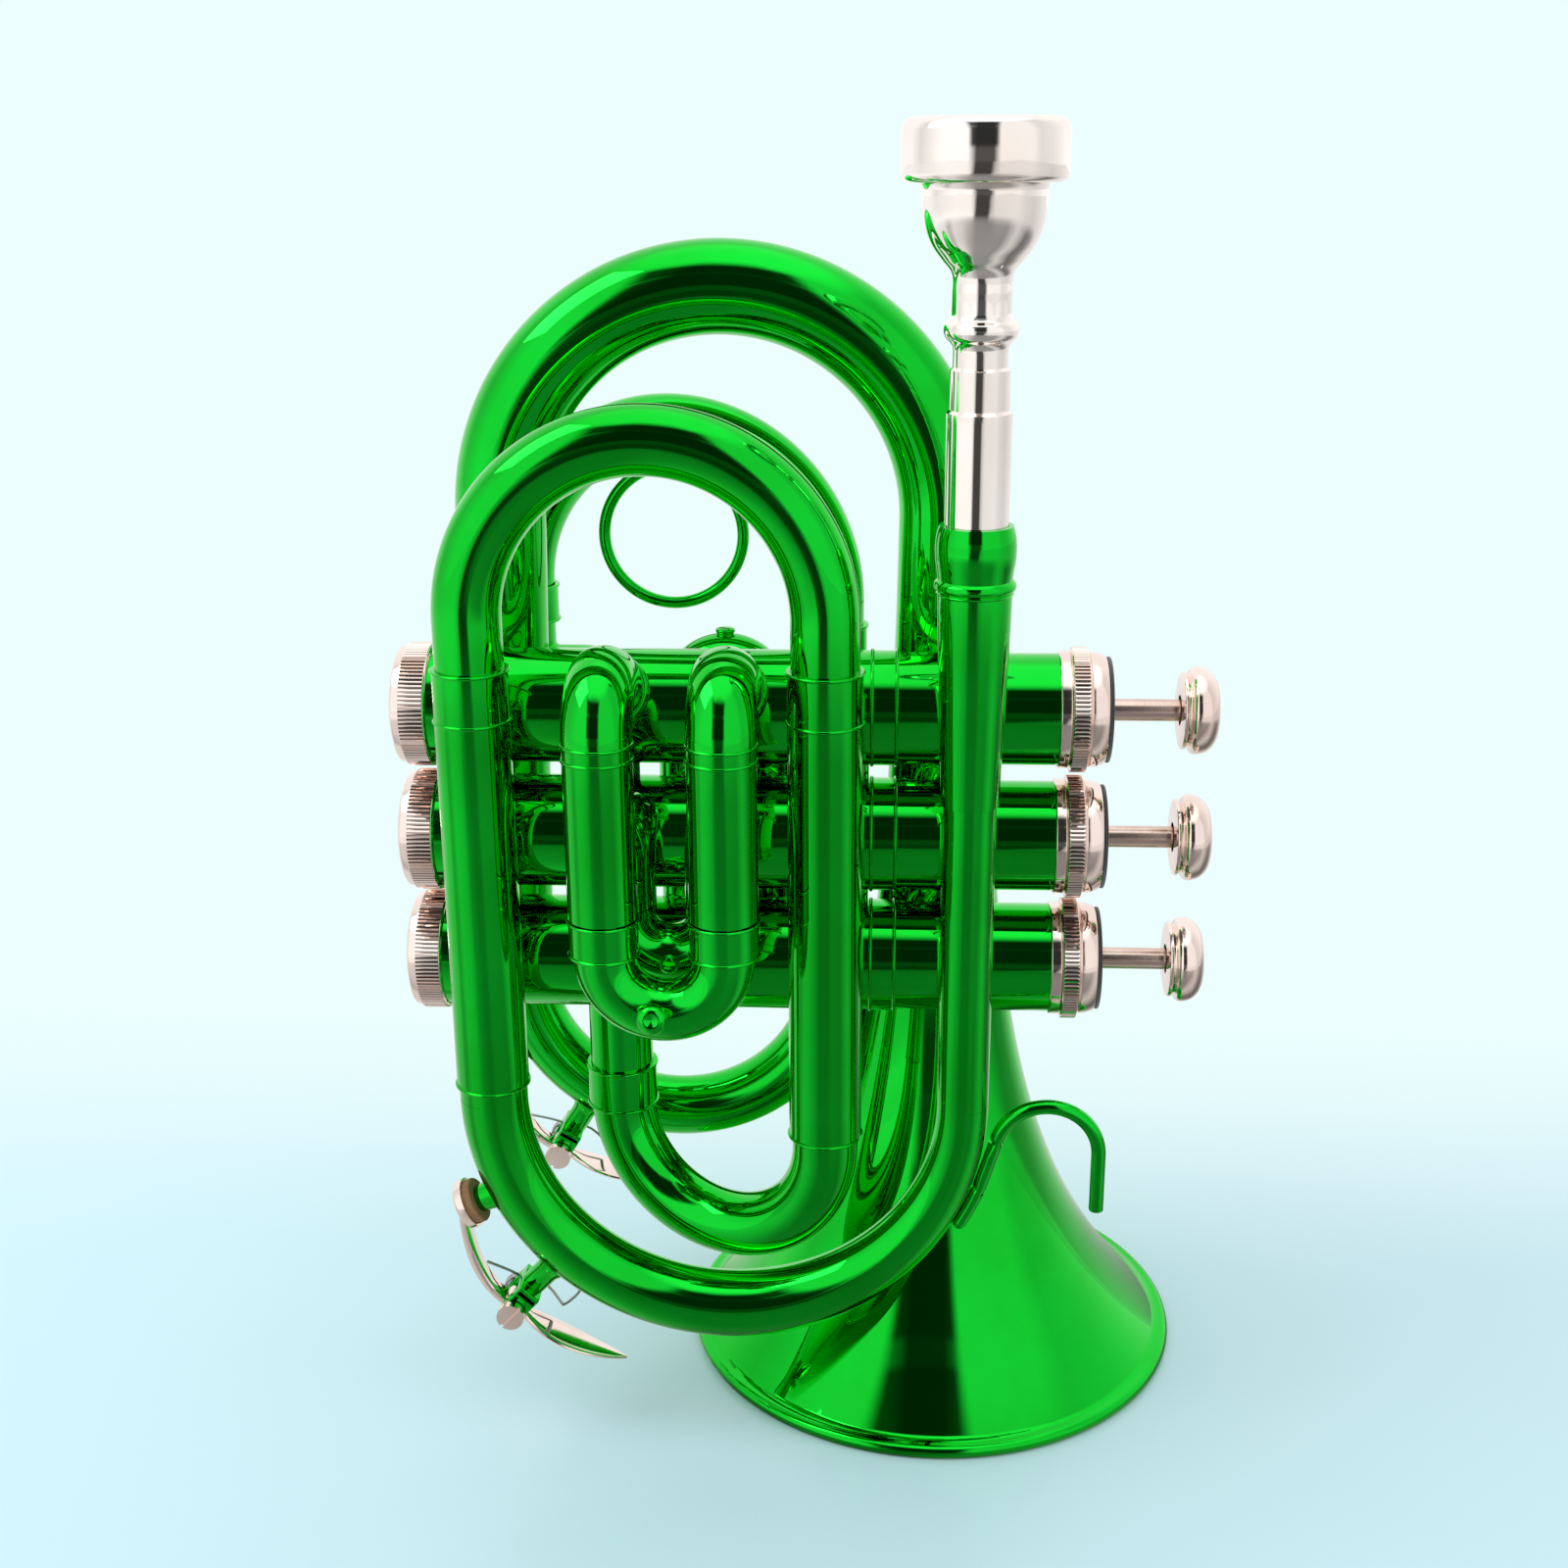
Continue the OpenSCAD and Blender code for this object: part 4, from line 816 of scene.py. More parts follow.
def make_stems_and_buttons():
    stem_r = 2.0
    hole_r = stem_r + SOLDER
    for i, z in enumerate(VALVE_Z, 1):
        low, high = box_mm(f"valve_stem_{i}")
        length = high.x - low.x
        rod = rounded([(0, 0), (stem_r, 0), (stem_r, length), (0, length)], 0.15)
        stem = turned(f"stem_{i}", rod, at(low.x, VALVE_Y, z), EAST, stem_metal, 48)
        settle(stem, [f"valve_stem_{i}"], f"valve_{i}")
        low, high = box_mm(f"finger_button_{i}")
        r = (high.z - low.z) / 2
        flange = rounded([(hole_r, 0.0), (r - 2.2, 0.0), (r - 0.95, 0.25), (r - 0.8, 0.8), (r - 1.3, 1.25),
                          (r - 1.5, 1.6), (r - 0.5, 1.85)], 0.25)[:-1]
        head = smooth_line([(r - 0.35, 1.9), (r, 2.45), (r - 0.02, 3.5), (r - 0.4, 4.7), (r - 1.25, 5.75),
                            (r - 2.3, 6.4), (r - 2.8, 6.5), (r - 3.2, 6.28), (r - 4.5, 6.12), (0, 6.05)], 7)
        profile = flange + head + [(0, 1.6), (hole_r, 1.6)]
        button = turned(f"button_{i}", profile, at(low.x, VALVE_Y, z), EAST, nickel, 96, 40)
        settle(button, [f"finger_button_{i}"], f"valve_{i}")


def make_valve_springs():
    """A wound spring under each piston."""
    coil_r, wire_r, turns, steps = 6.2, 0.38, 7, 24
    for i, z in enumerate(VALVE_Z, 1):
        low, high = box_mm(f"valve_spring_{i}")
        route = []
        for k in range(turns * steps + 1):
            angle = math.tau * k / steps
            x = low.x + wire_r + (high.x - low.x - 2 * wire_r) * k / (turns * steps)
            route.append(at(x, VALVE_Y + coil_r * math.cos(angle), z + coil_r * math.sin(angle)))
        spring = tube(f"coil_spring_{i}", route, wire_r, None, spring_steel, 8)
        settle(spring, [f"valve_spring_{i}"], BODY)
        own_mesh(spring)


def slide_legs(x, y, half, arc_z, way, leg_end, ferrule, ferrule_r):
    """Legs, ferrules and bow of a slide's crook, as separate meshes; way is 1 for one that draws up."""
    ends = at(x - half, y, arc_z), at(x + half, y, arc_z)
    pieces = [tube("crook", half_bow(*ends, way, 64), CROOK_R, CROOK_R - LEG_R + WALL, sides=64)]
    for end in ends:
        foot = at(end.x, y, 0)
        leg = sleeve(LEG_R, LEG_R - WALL, *sorted((arc_z, leg_end)))
        pieces.append(turned("leg", leg, foot, sides=64))
        low, high = sorted((arc_z, arc_z - way * ferrule))
        lines = [low + LINE_R, high - LINE_R] if ferrule > 3 else []
        pieces.append(turned("ferrule", sleeve(ferrule_r, LEG_R, low, high, lines), foot, sides=64))
    return pieces


def elbow(x, valve_z, direction, y, end_z, radius, bend):
    """Sleeve that leaves a casing and bends into an upright leg."""
    axis = at(x, VALVE_Y, valve_z)
    corner = axis + direction * ((y - VALVE_Y) / direction.y)
    route = bent_route([axis + direction * 8.75, corner, at(x, y, end_z)], bend, 28)
    return tube("elbow", route, radius, radius - LEG_R - SLIDING_FIT, sides=64)


def to_front():
    """Direction in which a front slide leaves its casing."""
    tilt = math.radians(30)
    return at(0, -math.cos(tilt), math.sin(tilt))


def valve_slide(word, valve_z, direction, y, r, arc_z, ferrule, bend, leg_end, knob, trim=()):
    """Sleeves that bend out of a casing, and the crook that runs in them.

    The knob is its profile, its shift from the end of the bow, its axis and its steps round; the trim on each
    sleeve is rows of profile, origin and axis.
    """
    low, high = box_mm(f"{word}_slide_crook")
    x, half = (low.x + high.x) / 2, (high.x - low.x) / 2 - r
    way = 1 if leg_end < arc_z else -1
    end_z = arc_z - way * (ferrule + HOME_GAP)
    sleeves = []
    for leg_x in (x - half, x + half):
        sleeves.append(elbow(leg_x, valve_z, direction, y, end_z, r, bend))
        for profile, origin, axis in trim:
            sleeves.append(turned("trim", profile, origin + EAST * leg_x, axis, sides=64))
    settle(joined(f"{word}_slide_tubes", sleeves), [f"{word}_slide_sleeves"])
    shape, shift, axis, sides = knob
    pieces = slide_legs(x, y, half, arc_z, way, leg_end, ferrule, r)
    pieces.append(turned("knob", shape, at(x, y, arc_z + way * half) + shift, axis, sides=sides))
    settle(joined(f"{word}_slide_bow", pieces), [f"{word}_slide_crook"], f"{word}_slide")


def first_slide():
    """First valve's slide, with double lines and collars on its tilted sleeves and a pull knob."""
    r, valve_z, direction, bend = SLIDE_SLEEVE_R, VALVE_Z[0], to_front(), 9.0
    y = box_mm("first_slide_crook")[1].y - r
    corner_z = valve_z + (y - VALVE_Y) / direction.y * direction.z
    bend_z = corner_z - bend * math.tan(math.radians(60))
    ring = [(r - 0.1, -LINE_R)] + bead(r, 0) + [(r - 0.1, LINE_R)]
    trim = [(ring, at(0, y, line_z), UP) for line_z in (bend_z + 0.6, bend_z - 2.0)]
    collar = [(r - 0.1, -2.2), (r + 0.95, -2.0), (r + 0.75, 0.6), (r + 0.35, 1.2), (r - 0.1, 1.3)]
    trim.append((rounded(collar, 0.4), at(0, VALVE_Y, valve_z) + direction * CASING_R, direction))
    knob_axis = at(0, -0.974, 0.225)
    shape = smooth_line([(2.1, 0), (1.5, 0.7), (1.4, 1.3), (1.95, 1.8), (2.6, 2.6), (2.7, 3.4), (2.3, 4.3),
                         (1.5, 4.8), (0.9, 4.65), (0, 4.2)], 5) + [(0, -0.5), (2.1, -0.5)]
    knob = shape, EAST * -1.5 + knob_axis * (CROOK_R - 0.5), knob_axis, 48
    valve_slide("first", valve_z, direction, y, r, 105.0, 6.8, bend, valve_z - 1, knob, trim)


def second_slide():
    """Second valve's short slide, tucked behind the first."""
    nub = rounded([(0, 0), (1.8, 0), (1.8, 1.3), (1.2, 1.8), (0, 1.8)], 0.4)
    knob = nub, at(0, 1.2 - CROOK_R, 0), (0, -1, 0), 32
    r, high = SHORT_SLEEVE_R, box_mm("second_slide_crook")[1]
    valve_slide("second", VALVE_Z[1], to_front(), high.y - r, r, 108.6, 1.2, 6.2, high.z, knob)


def third_slide():
    """Third valve's slide behind the casings, whose crook shows above the first one."""
    curve = [(2.2, 0), (1.7, 0.5), (1.65, 0.9), (1.85, 1.2), (1.8, 1.6), (1.2, 1.85), (0, 1.9)]
    shape = smooth_line(curve, 5) + [(0, -0.6), (2.2, -0.6)]
    knob = shape, UP * (CROOK_R - 0.8), UP, 40
    low, high = box_mm("third_slide_crook")
    y = (low.y + high.y) / 2
    valve_slide("third", VALVE_Z[2], at(0, 1, 0), y, SLIDE_SLEEVE_R, 139.2, 6.8, 7.0, low.z, knob)


def narrowing(t):
    """Outer radius of the big bow, from its middle (0) to the leadpipe (1)."""
    return MAIN_R + (LEAD_R - MAIN_R) * (3 * t * t - 2 * t**3)


def main_slide():
    """Big bow, its inner leg and the leadpipe, which slide out together."""
    left, lead = at(LEFT_X, FRONT_Y, 0), at(LEAD_X, FRONT_Y, 0)
    steps = 112
    route = half_bow(left + UP * MAIN_ARC_Z, lead + UP * MAIN_ARC_Z, -1, steps)
    radii = [narrowing(max((k / steps - 0.5) * 2, 0.0)) for k in range(steps + 1)]
    bow = [tube("bow", route, radii, sides=80), nipple(FRONT_KEY)]
    settle(joined("big_bow", bow), ["main_bow", "main_bow_taper"], MAIN)
    leg_top = box_mm("main_inner_leg")[1].z
    bore, step_z = MAIN_LEG_R - WALL, LEFT_END - HOME_GAP
    leg = [(MAIN_R, MAIN_ARC_Z), (MAIN_R, step_z), (MAIN_LEG_R, step_z), (MAIN_LEG_R, leg_top),
           (bore, leg_top), (bore, MAIN_ARC_Z)]
    settle(turned("inner_leg", leg, left), ["main_inner_leg"], MAIN)
    pipe = sleeve(LEAD_R, LEAD_R - WALL, MAIN_ARC_Z, LEAD_TOP)
    settle(turned("lead_tube", pipe, lead), ["leadpipe"], MAIN)


def make_hook():
    """Little finger hook: a foot along the big bow, a half-round crook and a rounded tip."""
    low, high = box_mm("finger_hook")
    wire = (high.y - low.y) / 2
    bend, centre_z, foot_angle, foot_length = 9.6, MAIN_ARC_Z - 10, 31.0, 11
    reach = MAIN_BEND + narrowing(1 - foot_angle / 90) + wire + SOLDER
    end_x = LEAD_X + 25.3
    foot = arc(at(MAIN_X, FRONT_Y, MAIN_ARC_Z), EAST, UP, -foot_angle, foot_length - foot_angle, reach, 10)
    crook = arc(at(end_x - bend, FRONT_Y, centre_z), EAST, UP, 168, 0, bend, 40)
    tip = [at(end_x, FRONT_Y, centre_z - d) for d in (4.0, 8.0, 11.0, 11.4, 11.65, 11.8)]
    route = [Vector(p) for p in smooth_line(foot + crook + tip, 3)]
    radii = [wire] * len(route)
    for k, share in enumerate((0.25, 0.55, 0.72, 0.84, 0.92, 0.97, 1.0)):
        radii[-1 - k] = wire * share
    for k, share in enumerate((0.5, 0.75, 0.9)):
        radii[k] = wire * share
    hook = tube("little_finger_hook", route, radii, None, sides=32, sharp=60)
    settle(hook, ["finger_hook"], MAIN)


def make_ring():
    """Finger ring of round wire with its foot under the return bow."""
    low, high = box_mm("finger_ring")
    wire, outer = 1.15, (high.x - low.x) / 2
    x, y = (low.x + high.x) / 2, (low.y + high.y) / 2
    turns = [math.tau * k / 24 for k in range(24)]
    round_wire = [(outer - wire + wire * math.cos(turn), wire * math.sin(turn)) for turn in turns]
    foot = rounded([(0, -1.6), (1.2, -1.5), (1.5, -0.6), (1.75, 0.0), (0, 0.0)], 0.3)
    parts = [(round_wire, at(x, y, low.z + outer), (0, 1, 0)), (foot, at(x, y, high.z), UP)]
    settle(turned_group("finger_loop", parts, green, 96, 60), ["finger_ring"])


def below(height, outline):
    """An outline of (radius, depth) under a height, as (radius, along)."""
    return [(radius, height - depth) for radius, depth in outline]


def make_receiver():
    """Tapered receiver that the leadpipe and the mouthpiece meet in."""
    low, high = box_mm("mouthpiece_receiver")
    bore, stop = LEAD_R + SLIDING_FIT, high.z - 23.5
    cone = [(5.1, low.z)] + below(high.z, [(5.65, 34), (6.22, 17.6), (6.35, 11.8)])
    beads = [(6.35, 11.8), (6.62, 11.5), (6.4, 11.2), (6.88, 10.7), (6.97, 10.2), (6.82, 9.6), (6.32, 9.1)]
    swell = [(6.32, 9.1), (6.5, 7.7), (6.76, 6.0), (6.88, 4.1), (6.8, 2.4), (6.5, 0.9), (6.2, 0)]
    profile = cone + smooth_line(below(high.z, beads), 4)[1:] + smooth_line(below(high.z, swell), 5)[1:]
    profile += [(5.47, high.z), (5.0, stop), (bore, stop), (bore, low.z)]
    settle(turned("receiver", profile, at(LEAD_X, FRONT_Y, 0)), ["mouthpiece_receiver"])


def make_mouthpiece():
    """Silver-plated mouthpiece with its rim, cup, throat and backbore."""
    low, high = box_mm("mouthpiece")
    r, end = (high.x - low.x) / 2, high.z - low.z
    rim = [(r - 4.8, 1.3), (r - 3.7, 0.25), (r - 2.6, 0), (r - 1.3, 0.22), (r - 0.45, 0.85), (r, 1.9)]
    skirt = [(r, 8.4), (r - 0.3, 9.4), (r - 1.2, 9.95), (r - 3.0, 10.15)]
    cup = [(r - 3.25, 10.9), (r - 3.3, 12.5), (r - 3.55, 15), (r - 4.2, 17.6), (r - 5.3, 19.9), (r - 6.9, 22),
           (4.98, 24.0), (4.85, 27), (4.88, 30.5)]
    collar = [(4.88, 30.5), (5.3, 31.2), (5.95, 32), (6.1, 33), (5.8, 34), (4.95, 34.9), (4.55, 35.7),
              (4.5, 37.2), (4.5, 38.7)]
    shank = [(4.95, 39.2), (4.98, 45.6), (5.45, 46.1), (5.5, 46.9), (5.45, 47.4), (5.4, 64.7), (4.95, end)]
    bore = [(4, end), (2.6, 46), (1.9, 24), (1.95, 19), (3.0, 15.5), (5.5, 12.5), (7.4, 9), (8.3, 5),
            (8.55, 2), (r - 4.8, 1.3)]
    profile = smooth_line(below(high.z, rim), 6) + smooth_line(below(high.z, skirt), 5)
    profile += smooth_line(below(high.z, cup), 6) + smooth_line(below(high.z, collar), 5)[1:]
    profile += below(high.z, shank) + smooth_line(below(high.z, bore), 6)[:-1]
    mouthpiece = turned("mouthpiece_silver", profile, at(LEAD_X, FRONT_Y, 0), UP, silver, 112, 32)
    settle(mouthpiece, ["mouthpiece"], "mouthpiece")


def flat_bar(name, stations, finish, sides=20, sharp=40):
    """Flat bar through stations of (centre, half width, half thickness), in a bow's own frame."""
    points, faces = [], []
    last = len(stations) - 1
    for k, (centre, half_width, half_thick) in enumerate(stations):
        before, after = stations[max(k - 1, 0)][0], stations[min(k + 1, last)][0]
        along = at(after[0] - before[0], after[1] - before[1], 0).normalized()
        out = at(along.y, -along.x, 0)
        for s in range(sides):
            across, up = math.cos(math.tau * s / sides), math.sin(math.tau * s / sides)
            # A squarish oval keeps the bar's faces flat and its edges round
            wide = half_width * math.copysign(abs(across) ** 0.75, across)
            thick = half_thick * math.copysign(abs(up) ** 0.45, up)
            points.append(at(centre[0], centre[1], 0) + out * thick + at(0, 0, wide))
    for k in range(last):
        low, high = k * sides, (k + 1) * sides
        faces += [(low + s, low + (s + 1) % sides, high + (s + 1) % sides, high + s) for s in range(sides)]
    faces += [tuple(range(sides)), tuple(last * sides + s for s in range(sides))]
    return new_piece(name, points, faces, finish, sharp)


def put(piece, place):
    """Moves a mesh made in a bow's own frame to its place; the matrix is in millimetres."""
    piece.data.transform(Matrix.Translation(place.to_translation() * MM) @ place.to_3x3().to_4x4())
    return piece


def key_curve(a, b, c, steps):
    """Points of a smooth curve from a to c, pulled towards b."""
    points = []
    for t in (k / steps for k in range(steps + 1)):
        points.append([(1 - t) ** 2 * a[i] + 2 * t * (1 - t) * b[i] + t * t * c[i] for i in range(2)])
    return points


def key_swing(key):
    """Angle about a bow's centre between a water key's pivot and its cork."""
    return math.asin(KEY_REACH / (key.surface + NIPPLE_H))


def nipple(key):
    """Short tube on a bow under a key's cork."""
    place = key.frame @ Matrix.Rotation(-key_swing(key), 4, "Z")
    top = NIPPLE_H - SOLDER
    profile = rounded([(1.6, -1.2), (3.1, -1.2), (2.75, 0.5), (2.6, top), (1.6, top)], 0.25)
    return turned("nipple", profile, place @ at(key.surface, 0, 0), place.to_3x3() @ EAST, sides=40)


def water_key(key):
    """Lever with cork cup, arm, barrel and leaf, and the cork in its cup."""
    name = f"spit_key_{key.end}"
    pivot, cup, swing = key.surface + KEY_PIVOT, key.surface + NIPPLE_H, key_swing(key)
    inward = at(math.cos(swing), -math.sin(swing), 0)
    start = inward * (cup + CORK_T + 1.3)
    arm = key_curve(start, (pivot + 2.4, -9.5), (pivot + 0.6, -0.5), 22)
    leaf = key_curve((pivot + 0.6, -0.5), (pivot + 1.6, 11.0), (pivot - 5.6, KEY_LEAF - 0.6), 34)
    stations = []
    for k, centre in enumerate(arm):
        t = k / (len(arm) - 1)
        swell = math.sin(math.pi * t)
        stations.append((centre, 2.5 - 0.5 * swell - 0.3 * t, 0.75 + 0.3 * swell))
    for k, centre in enumerate(leaf[1:], 1):
        t = k / (len(leaf) - 1)
        neck = 2.2 - 0.7 * min(t / 0.22, 1)
        blade = 3.5 * max(math.sin(math.pi * max((t - 0.1) / 0.9, 0) ** 0.9), 0) ** 0.7
        half_width = max(neck * (1 - t), blade, 0.25)
        stations.append((centre, half_width, 0.9 - 0.35 * min(t / 0.4, 1) - 0.35 * t**3))
    barrel = rounded([(1.15, -2.2), (2.1, -2.2), (2.1, 2.2), (1.15, 2.2)], 0.25)
    turns = [0.1 * k * math.pi / 2 for k in range(11)]
    dish = [(KEY_CUP_R * math.sin(turn), CORK_T + 0.6 + 1.5 * math.cos(turn)) for turn in turns]
    dish += [(KEY_CUP_R, CORK_T - 0.6), (KEY_CUP_R - 0.45, CORK_T - 0.6), (KEY_CUP_R - 0.45, CORK_T + 0.3),
             (0, CORK_T + 0.3)]
    lever = [
        flat_bar("lever", stations, nickel),
        turned("barrel", barrel, (pivot, 0, 0), UP, nickel, 40),
        turned("cup", dish, inward * cup, inward, nickel, 56),
    ]
    body = f"{key.word}_key"
    settle(put(joined(name, lever, 40), key.frame), [f"{key.word}_water_key"], body)
    plug_r, plug_top = KEY_CUP_R - 0.52, CORK_T + 0.25
    plug = [(0, SOLDER), (plug_r - 0.2, SOLDER), (plug_r, 0.3), (plug_r, plug_top), (0, plug_top)]
    plug_piece = turned(name + "_cork", rounded(plug, 0.3), inward * cup, inward, cork, 56)
    settle(put(plug_piece, key.frame), (), body)


def key_bracket(key):
    """Bracket of a water key: a round foot on the bow, a cross bar and two ears with the screw's hole."""
    pivot = key.surface + KEY_PIVOT
    ear_r, hole_r, ear_length, ear_in, ear_out, steps = 2.3, 1.12, 5.0, 2.35, 4.35, 48
    points, faces = [], []
    for side in (-1, 1):
        first = len(points)
        for z in (side * ear_in, side * ear_out):
            for k in range(steps):
                out, along = math.cos(math.tau * k / steps), math.sin(math.tau * k / steps)
                reach = ear_r
                if out <= 0:
                    reach = min(ear_length / max(-out, 1e-6), ear_r / max(abs(along), 1e-6))
                points += [at(pivot + r * out, r * along, z) for r in (reach, hole_r)]
        for k in range(steps):
            n = (k + 1) % steps
            a, b = first + 2 * k, first + 2 * n
            c, d = b + 2 * steps, a + 2 * steps
            faces += [(a, b, c, d), (a + 1, d + 1, c + 1, b + 1), (a, a + 1, b + 1, b), (d, c, c + 1, d + 1)]
    bar_low, bar_high = pivot - ear_length - 0.4, pivot - ear_length + 1.5
    corners = [at(x, y, z) for x in (bar_low, bar_high) for y in (-ear_r, ear_r) for z in (-ear_out, ear_out)]
    walls = [(0, 1, 3, 2), (4, 6, 7, 5), (0, 4, 5, 1), (2, 3, 7, 6), (0, 2, 6, 4), (1, 5, 7, 3)]
    top = bar_low - key.surface + 0.2
    column = rounded([(0, -1.3), (3.5, -1.3), (3.1, -0.1), (2.5, 1.2), (2.4, top), (0, top)], 0.5)
    parts = [
        new_piece("ears", points, faces, green, 30),
        new_piece("bar", corners, walls, green, 30),
        turned("column", column, (key.surface, 0, 0), EAST, sides=48),
    ]
    name = f"key_bracket_{key.end}"
    whole = put(joined(name, parts, 30), key.frame)
    edge = whole.modifiers.new("soft edges", "BEVEL")
    edge.width = 0.3 * MM
    edge.segments = 3
    edge.limit_method = "ANGLE"
    settle(baked(whole, name, 40), [f"{key.word}_key_saddle"], key.bow_body)


def key_spring(key):
    """Spring of thin wire: a leg towards the cork, turns round the screw and a bent leg on the bow."""
    pivot = key.surface + KEY_PIVOT
    coil_r, wire, turns, steps, pitch = 2.75, 0.28, 3, 20, 0.62
    route = [(pivot - 0.4, -8.6, -3.4), (pivot - 2.0, -4.0, -3.5)]
    for k in range(turns * steps + 1):
        turn = math.radians(200) + math.tau * k / steps
        route.append((pivot + coil_r * math.cos(turn), coil_r * math.sin(turn), -3.6 - pitch * k / steps))
    route += [(pivot - 3.4, 4.2, -5.5), (pivot - 2.6, 8.2, -5.3), (pivot - 3.0, 9.0, -5.0),
              (key.surface + 3.6, 9.0, -4.4), (key.surface + 1.2, 7.6, -3.6)]
    line = [Vector(p) for p in smooth_line(route, 3)]
    spring = tube(f"key_spring_{key.end}", line, wire, None, spring_steel, 8)
    settle(put(spring, key.frame), (), key.bow_body)


def finish_packed_nodes():
    """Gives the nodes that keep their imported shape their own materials."""
    for part in frame["record"]["subparts"]:
        kept = frame["nodes"][part["node"]]
        finish = FINISHES[part["material_slot"]]
        if not kept.material_slots:
            kept.data.materials.append(finish)
        for own in kept.material_slots:
            own.material = finish


make_bell()
make_body_tubes()
make_ferrules()
make_casings()
make_caps()
make_felts()
make_stems_and_buttons()
make_valve_springs()
first_slide()
second_slide()
third_slide()
main_slide()
make_hook()
make_ring()
make_receiver()
make_mouthpiece()
for make in (water_key, key_bracket, key_spring):
    for key in (FRONT_KEY, REAR_KEY):
        make(key)
finish_packed_nodes()

# Studio
BACKDROP = rgb(236, 254, 254)
TABLE_BLUE = rgb(203, 236, 246)


def camera_like_the_photo():
    """Camera at the photograph's place, with a normal 45 mm lens."""
    yaw, pitch, roll = math.radians(-3.275), math.radians(18.258), math.radians(0.391)
    forward = at(math.sin(yaw) * math.cos(pitch), math.cos(yaw) * math.cos(pitch), -math.sin(pitch))
    right = at(math.cos(yaw), -math.sin(yaw), 0)
    up = right.cross(forward)
    rolled_right = right * math.cos(roll) - up * math.sin(roll)
    rolled_up = right * math.sin(roll) + up * math.cos(roll)
    data = bpy.data.cameras.new("camera")
    data.lens, data.sensor_width, data.clip_start = 45.0, 36.0, 0.01
    camera = show("camera", data)
    axes = Matrix((rolled_right, rolled_up, -forward)).transposed().to_4x4()
    camera.matrix_world = Matrix.Translation(at(-9.66, -367.16, 240.83) * MM) @ axes
    bpy.context.scene.camera = camera


def studio_world():
    """Pale even light, with the soft boxes and the dark gaps between them that polished metal shows."""
    world = bpy.data.worlds.new("studio")
    world.use_nodes = True
    bpy.context.scene.world = world
    shader = Shader(world.node_tree)
    x, y, z = shader.axes(shader.add("ShaderNodeTexCoord", output="Generated"))
    round_about = shader.levels(shader.azimuth(x, y), [
        (-180, 1.0), (-120, 1.0), (-100, 0.75), (-60, 1.1), (-26, 1.1), (-15, 0.06), (9, 0.06), (18, 0.95),
        (64, 0.95), (78, 0.75), (100, 0.8), (130, 1.0), (180, 1.0),
    ])
    front = shader.between(y, 0.05, -0.25) * shader.between(x, -0.45, -0.32) * shader.between(x, 0.30, 0.18)
    shade = front * shader.between(z, 0.08, 0.16) * shader.between(z, 0.90, 0.78)
    lines = shader.between(z, 0.54, 0.57) * shader.between(z, 0.64, 0.61) * 0.2
    overhead = shader.between(z, 0.78, 0.94)
    level = (1.0 - shade * (0.95 - lines)) * (1.0 - overhead)
    scaled = {"operation": "SCALE"}
    side = shader.add("ShaderNodeVectorMath", scaled, {0: round_about, "Scale": level})
    ceiling = rgb(246, 254, 254)[:3]
    top = shader.add("ShaderNodeVectorMath", scaled, {0: ceiling, "Scale": overhead * 1.4 + 0.025})
    glossy = shader.add("ShaderNodeVectorMath", {"operation": "ADD"}, {0: side, 1: top})
    is_camera = shader.add("ShaderNodeLightPath", output="Is Camera Ray")
    is_glossy = shader.add("ShaderNodeLightPath", output="Is Glossy Ray")
    even = shader.blend(is_camera, (0.95, 0.95, 0.95, 1.0), BACKDROP)
    colour = shader.blend(is_glossy, even, glossy)
    light = shader.add("ShaderNodeBackground", sockets={"Color": colour, "Strength": 1.0})
    shader.add("ShaderNodeOutputWorld", sockets={"Surface": light})


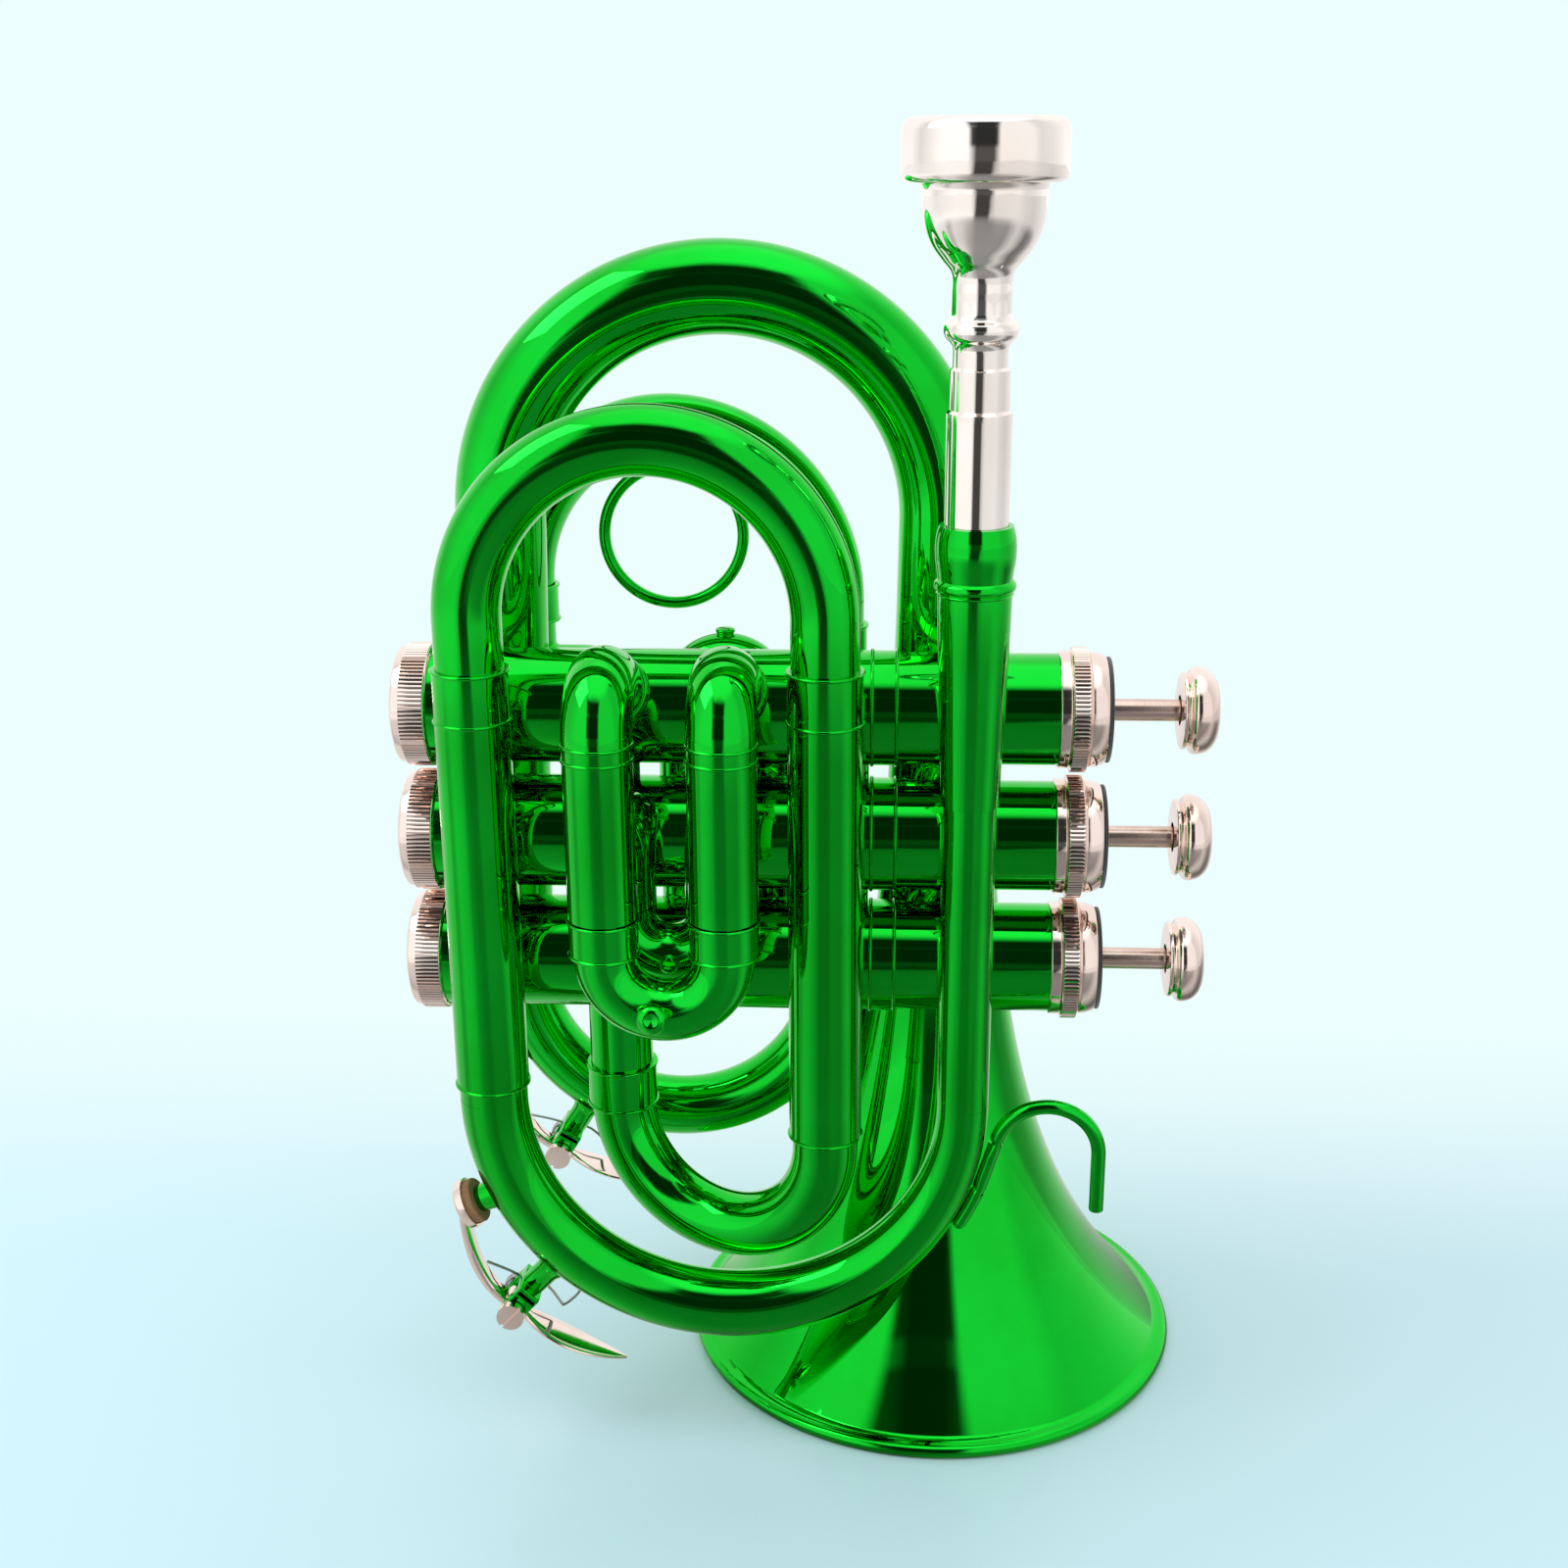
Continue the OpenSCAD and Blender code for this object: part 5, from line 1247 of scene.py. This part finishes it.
def pale_floor():
    """Table top, pale blue round the horn and running without a line into the backdrop; in the metal's
    reflections it shows painted shade and brightness by compass angle, darkest in front.
    """
    half, centre_x, centre_y = 3.0, -0.04, -0.02
    mesh = bpy.data.meshes.new("table_top")
    corners = [(-half, -half, 0), (half, -half, 0), (half, half, 0), (-half, half, 0)]
    mesh.from_pydata(corners, [], [(0, 1, 2, 3)])
    material, shader = surface("table_surface", Roughness=0.25, **{"Specular IOR Level": 0.4})
    x, y, _ = shader.axes(shader.place())
    x, y = x - centre_x, y - centre_y
    angle = shader.azimuth(x, y)
    # Painted shade and brightness round the horn, seen only in reflections: one set near the horn and one far
    # off, darkest in front
    near_painted_shade = shader.levels(angle, [
        (-180, 0.8), (-120, 0.75), (-84, 0.66), (-76, 0.4), (-70, 0.4), (-60, 0.62), (-42, 0.56), (-26, 0.38),
        (-10, 0.27), (30, 0.26), (48, 0.24), (60, 0.45), (70, 0.6), (80, 0.45), (96, 0.12), (112, 0.2),
        (135, 0.75), (180, 0.8),
    ])
    far_painted_shade = shader.levels(angle, [
        (-180, 0.95), (-100, 0.95), (-20, 1.0), (-14, 0.06), (7, 0.06), (13, 0.75), (60, 0.8), (100, 0.6),
        (180, 0.95),
    ])
    distance = shader.add("ShaderNodeMath", {"operation": "SQRT"}, {0: x * x + y * y})
    away = 1 - (1 - shader.between(y, 0.03, 0.17)) * (1 - shader.between(distance, 0.5, 1.5))
    reflected_painted_shade = shader.blend(shader.between(distance, 0.45, 0.75), near_painted_shade, far_painted_shade)
    is_camera = shader.add("ShaderNodeLightPath", output="Is Camera Ray")
    is_diffuse = shader.add("ShaderNodeLightPath", output="Is Diffuse Ray")
    # Reflected rays see the painted shade; diffuse bounces see the plain table blue
    table_or_painted_shade = shader.blend(is_diffuse, reflected_painted_shade, TABLE_BLUE)
    shader.feed("Base Color", shader.blend(is_camera, table_or_painted_shade, TABLE_BLUE))
    backdrop = shader.add("ShaderNodeEmission", sockets={"Color": BACKDROP})
    near_table = Value(shader.tree, shader.principled.outputs[0])
    sockets = {0: is_camera * away, 1: near_table, 2: backdrop}
    shader.finish(shader.add("ShaderNodeMixShader", sockets=sockets))
    mesh.materials.append(material)
    show("table_top", mesh)


def soft_lamp(name, place, target, size, power):
    data = bpy.data.lights.new(name, "AREA")
    data.shape, data.size, data.energy = "SQUARE", size, power
    away = Vector(place) - Vector(target)
    turn = away.to_track_quat("Z", "Y").to_matrix().to_4x4()
    show(name, data).matrix_world = Matrix.Translation(place) @ turn


camera_like_the_photo()
studio_world()
pale_floor()
soft_lamp("lamp_left", (-0.55, -0.15, 0.75), (-0.03, 0, 0.1), 0.4, 1.6)
bpy.context.scene.view_settings.view_transform = "Standard"
